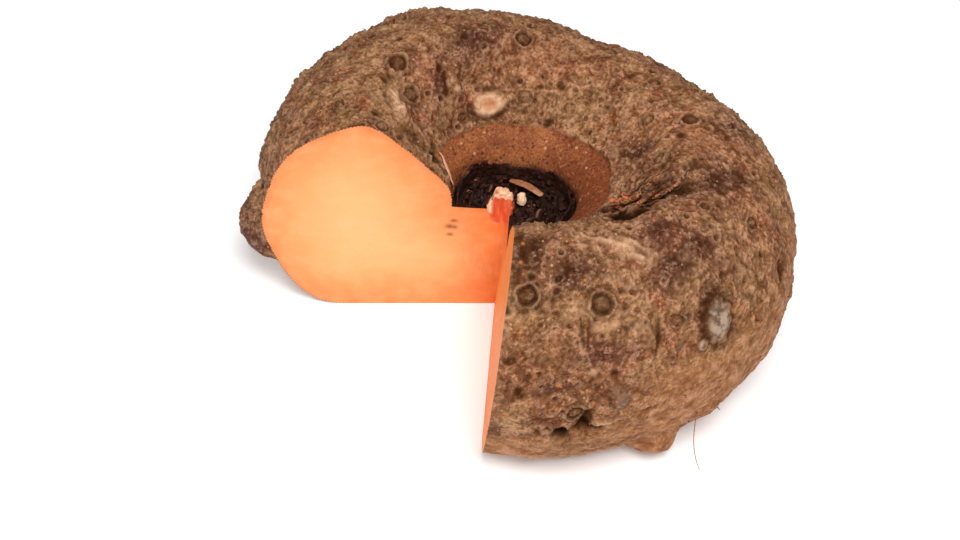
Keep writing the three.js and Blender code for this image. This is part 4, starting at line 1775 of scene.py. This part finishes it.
    def drop_crumb(self, bundle: Bundle, arc: tuple[float, float]) -> None:
        """Drops a crumb on the pit's floor within an arc in radians, but none over the edge."""
        draw, notch = self.draw, self.corm.notch
        azimuth, radius = draw.uniform(*arc), draw.uniform(3.5, self.litter_radius)
        size = draw.uniform(0.7, 2.0)
        rise = 0.2 + draw.uniform(0.0, 1.6) + 4.5 * self.bank(radius) * draw.random()
        middle = notch.round_pit(radius, azimuth, self.floor + rise)
        if notch.kept(middle, 1.7 * size) and radius + size <= self.litter_edge:
            points, faces = crumb(size * draw.uniform(0.7, 1.3, 3), 10, 7)
            points = points * (1 + 0.45 * self.grain.at(points / size + 11.0 * radius, 0.9))[:, None]
            bundle.add(points + middle, faces, tan=0.8 * float(size < 1.0 and draw.random() < 0.12))

    def drop_shred(self, bundle: Bundle) -> bool:
        """Drops a shred on the pit's floor, unless it would stick out of the litter.

        Args:
            bundle: what the shred is added to.

        Returns:
            Whether it was dropped.
        """
        draw, notch = self.draw, self.corm.notch
        azimuth, radius = draw.uniform(0, math.tau), draw.uniform(5.0, self.litter_radius)
        rise = draw.uniform(0.3, 3.5) + 3.5 * self.bank(radius)
        length = draw.uniform(2.2, 5.5)
        heading = azimuth + math.pi / 2 + draw.normal(0, 0.7)
        way = np.array([math.cos(heading), math.sin(heading), draw.normal(0, 0.35)])
        bend = draw.normal(0, 0.22, 3)
        steps = np.linspace(-0.5, 0.5, self.shred_steps)[:, None]
        middle = notch.round_pit(radius, azimuth, self.floor + rise)
        route = middle + way * steps * length + bend * length * (4 * steps**2)
        route += 0.3 * self.grain.drift(route, 1.7)
        too_far = notch.pit_distance(route).max() > self.litter_edge or route[:, 2].min() < notch.floor_height
        if too_far or not np.all(notch.kept(route, 1.6)):
            return False
        taper = np.sin(np.linspace(0.12, math.pi - 0.12, self.shred_steps)) ** 0.6
        mesh = tube(route, draw.uniform(0.5, 1.9) * taper, 6, draw.uniform(0.18, 0.38))
        bundle.add(*mesh, tan=0.5 if draw.random() < 0.02 else 0.0)
        return True


# ---------------------------------------------------------------- roots


@dataclass
class Roots:
    """The dry roots in the fold, the strands beside them, one long hair root and the stubs on the skin."""

    corm: Corm
    nodes: tuple[str, ...] = ("dry_root_1", "dry_root_2", "dry_root_3")
    strands: int = 16
    strand_steps: int = 14
    flakes: int = 16
    strand_reach: tuple[float, float] = (38, 62)
    flake_reach: tuple[float, float] = (38.6, 46.5)
    hair_top: Place = (75.0, -97.5, 35.5)
    hair_drop: float = 33.0
    stubs: int = 130
    stub_gap: float = 6.0
    seed: int = 23

    def build(self) -> list[Piece]:
        """Builds and dresses the roots.

        Returns:
            The pieces.
        """
        self.draw = np.random.default_rng(self.seed)
        self.grain = Grain(self.seed)
        self.finish = DryRoot().material()
        return [*self.fold_roots(), self.fold_strands(), self.hair_root(), self.skin_stubs()]

    def fold_roots(self) -> list[Piece]:
        """The dry roots that the CAD places in the fold."""
        pieces = []
        for node in self.nodes:
            piece = fine_copy(node, node + "_bark", 0.22)
            points = points_of(piece)
            bark = 0.28 * self.grain.at(points, 1.5) + 0.12 * self.grain.at(points, 0.7)
            move_points(piece, swollen(piece, bark))
            set_marks(piece, {"aged": 0.6 * smoothstep(0.0, 0.5, self.grain.at(points, 4))})
            pieces.append(dress(piece, self.finish, "dry_root", node))
        return pieces

    def fold_strands(self) -> Piece:
        """Thin dark strands and brighter flakes lying along the fold."""
        bundle = Bundle()
        for _ in range(self.strands):
            self.lay_strand(bundle)
        for _ in range(self.flakes):
            self.lay_flake(bundle)
        return dress(bundle.piece("fold_strands"), self.finish, "dry_root")

    def lay_strand(self, bundle: Bundle) -> None:
        """Lays a wandering strand over the skin along the fold."""
        draw, notch = self.draw, self.corm.notch
        x = notch.pit_x + draw.uniform(*self.strand_reach)
        y = notch.pit_y - 22 - 0.45 * (x - 40) + draw.normal(0, 2.2)
        heading, length = draw.normal(-0.35, 0.5), draw.uniform(6, 15)
        route = []
        for step in np.linspace(0, length, self.strand_steps):
            px, py = x + step * math.cos(heading), y + step * math.sin(heading)
            lift = 0.35 + 0.9 * math.sin(math.pi * step / length) * draw.uniform(0.6, 1.0)
            route.append((px, py, self.corm.ground(px, py) + lift))
            heading += draw.normal(0, 0.10)
        line = np.array(route)
        line[1:-1] = 0.25 * line[:-2] + 0.5 * line[1:-1] + 0.25 * line[2:]
        radii = draw.uniform(0.22, 0.5) * (1 - 0.6 * np.linspace(0, 1, self.strand_steps))
        bundle.add(*tube(line, radii, 6), aged=float(draw.random() < 0.6) * 0.85, bright=0.0)

    def lay_flake(self, bundle: Bundle) -> None:
        """Lays a flake of bark on the skin in the fold."""
        draw, notch = self.draw, self.corm.notch
        x = notch.pit_x + draw.uniform(*self.flake_reach)
        y = notch.pit_y - 19.6 - 0.55 * (x - notch.pit_x - 40) + draw.normal(0, 1.1)
        size = draw.uniform(0.9, 1.7)
        points, faces = crumb(size * draw.uniform((0.9, 0.6, 0.4), (1.8, 1.1, 0.8)), 12, 8)
        points = points * (1 + 0.5 * self.grain.at(points / size + x + y, 0.8))[:, None]
        points = points + np.array([x, y, self.corm.ground(x, y) + 0.8])
        bundle.add(points, faces, aged=0.5 * float(draw.random() < 0.4), bright=draw.uniform(0.3, 0.9))

    def hair_root(self) -> Piece:
        """One fine root that hangs from the lower right to the table."""
        t = np.linspace(0, 1, 30)
        x, y = 5.0 * t**2 - 1.8 * np.sin(t * 2.4), -5.5 * np.sin(t * 1.9)
        route = np.array(self.hair_top) + np.stack([x, y, -self.hair_drop * t**1.1], -1)
        bundle = Bundle()
        bundle.add(*tube(route, 0.24 - 0.12 * t, 6), aged=0.0)
        return dress(bundle.piece("hair_root"), self.finish, "dry_root")

    def skin_stubs(self) -> Piece:
        """Short broken root ends that stand off the skin."""
        corm, draw = self.corm, self.draw
        bundle = Bundle()
        skin = corm.area * (corm.clear > 0.6) * (corm.base[..., 2] > 14)
        surface = corm.places[corm.under_rows : corm.under_rows + corm.base.shape[0]]
        t = np.linspace(-0.4, 1, 6)[:, None]
        for i, j in corm.scattered(skin, self.stubs * 2, self.stub_gap, [])[: self.stubs]:
            if min(j, corm.columns - 1 - j) < 4:
                continue
            lean = unit(corm.normal[i, j] + draw.normal(0, 0.55, 3))
            length, bend = draw.uniform(0.6, 1.5), draw.normal(0, 0.25, 3)
            route = surface[i, j] + lean * t * length + bend * length * t**2
            radii = draw.uniform(0.16, 0.34) * (1 - 0.55 * t[:, 0].clip(0))
            bundle.add(*tube(route, radii, 5), aged=float(draw.uniform(0.2, 0.9)))
        return dress(bundle.piece("root_stubs"), self.finish, "dry_root")


# ---------------------------------------------------------------- the studio


@dataclass
class Studio:
    """A white table, soft light from above on the left, and the camera."""

    notch: Notch = field(default_factory=Notch)
    aim: Place = (-16.834, -27.805, 50.0)
    distance: float = 639.5
    elevation: float = 45.0
    lens: float = 55.0
    table_half: float = 6000.0
    sky: float = 0.34
    key_power: float = 14.5
    key_place: Place = (120.0, -640.0, 1150.0)
    key_size: float = 480.0
    fill_power: float = 3.4
    fill_place: Place = (-950.0, -300.0, 800.0)
    fill_size: float = 900.0

    def build(self) -> None:
        """Sets out the table, the lights and the camera."""
        self.table()
        self.area_light("key_light", self.key_place, self.key_size, self.key_power)
        self.area_light("fill_light", self.fill_place, self.fill_size, self.fill_power)
        self.world()
        self.camera()

    def table(self) -> None:
        """The table that the yam lies on."""
        half = self.table_half
        corners = np.array([[-half, -half, 0], [half, -half, 0], [half, half, 0], [-half, half, 0]], float)
        top = new_piece("table", corners, [(0, 1, 2, 3)])
        top.data.materials.append(WhiteTable().material())
        log.info("table: stage")

    def area_light(self, name: str, place: Place, size: float, power: float) -> None:
        """A square lamp that looks at the yam."""
        data = bpy.data.lights.new(name, "AREA")
        data.energy = power
        data.size = size * MM
        lamp = in_scene(name, data)
        lamp.location = Vector(place) * MM
        lamp.rotation_euler = (-lamp.location).to_track_quat("-Z", "Y").to_euler()

    def world(self) -> None:
        """Even white light from all round."""
        world = bpy.data.worlds.new("white_room")
        world.use_nodes = True
        background = world.node_tree.nodes["Background"].inputs
        background["Color"].default_value = (1.0, 1.0, 1.0, 1.0)
        background["Strength"].default_value = self.sky
        bpy.context.scene.world = world
        bpy.context.scene.view_settings.view_transform = "Standard"

    def camera(self) -> None:
        """The camera, level with the table's edge and looking down at the yam."""
        data = bpy.data.cameras.new("camera")
        data.lens = self.lens
        data.sensor_width = 36.0
        data.clip_start = 0.01
        data.clip_end = 50.0
        camera = in_scene("camera", data)
        tilt = math.radians(self.elevation)
        back = Vector((0.0, -math.cos(tilt), math.sin(tilt)))
        camera.location = (Vector(self.notch.from_pit(self.aim)) + back * self.distance) * MM
        camera.rotation_euler = (math.pi / 2 - tilt, 0.0, 0.0)
        bpy.context.scene.camera = camera


def main() -> None:
    """Builds the yam and the studio."""
    logging.basicConfig(level=logging.INFO, format="%(name)s: %(message)s")
    corm = Corm()
    pieces = [*corm.build(), *CutFaces(corm).build(), *Crown(corm).build(), *Roots(corm).build()]
    Studio().build()
    faces = sum(len(piece.data.polygons) for piece in pieces)
    log.info("%d pieces, %d faces", len(pieces), faces)


if __name__ == "__main__":
    main()
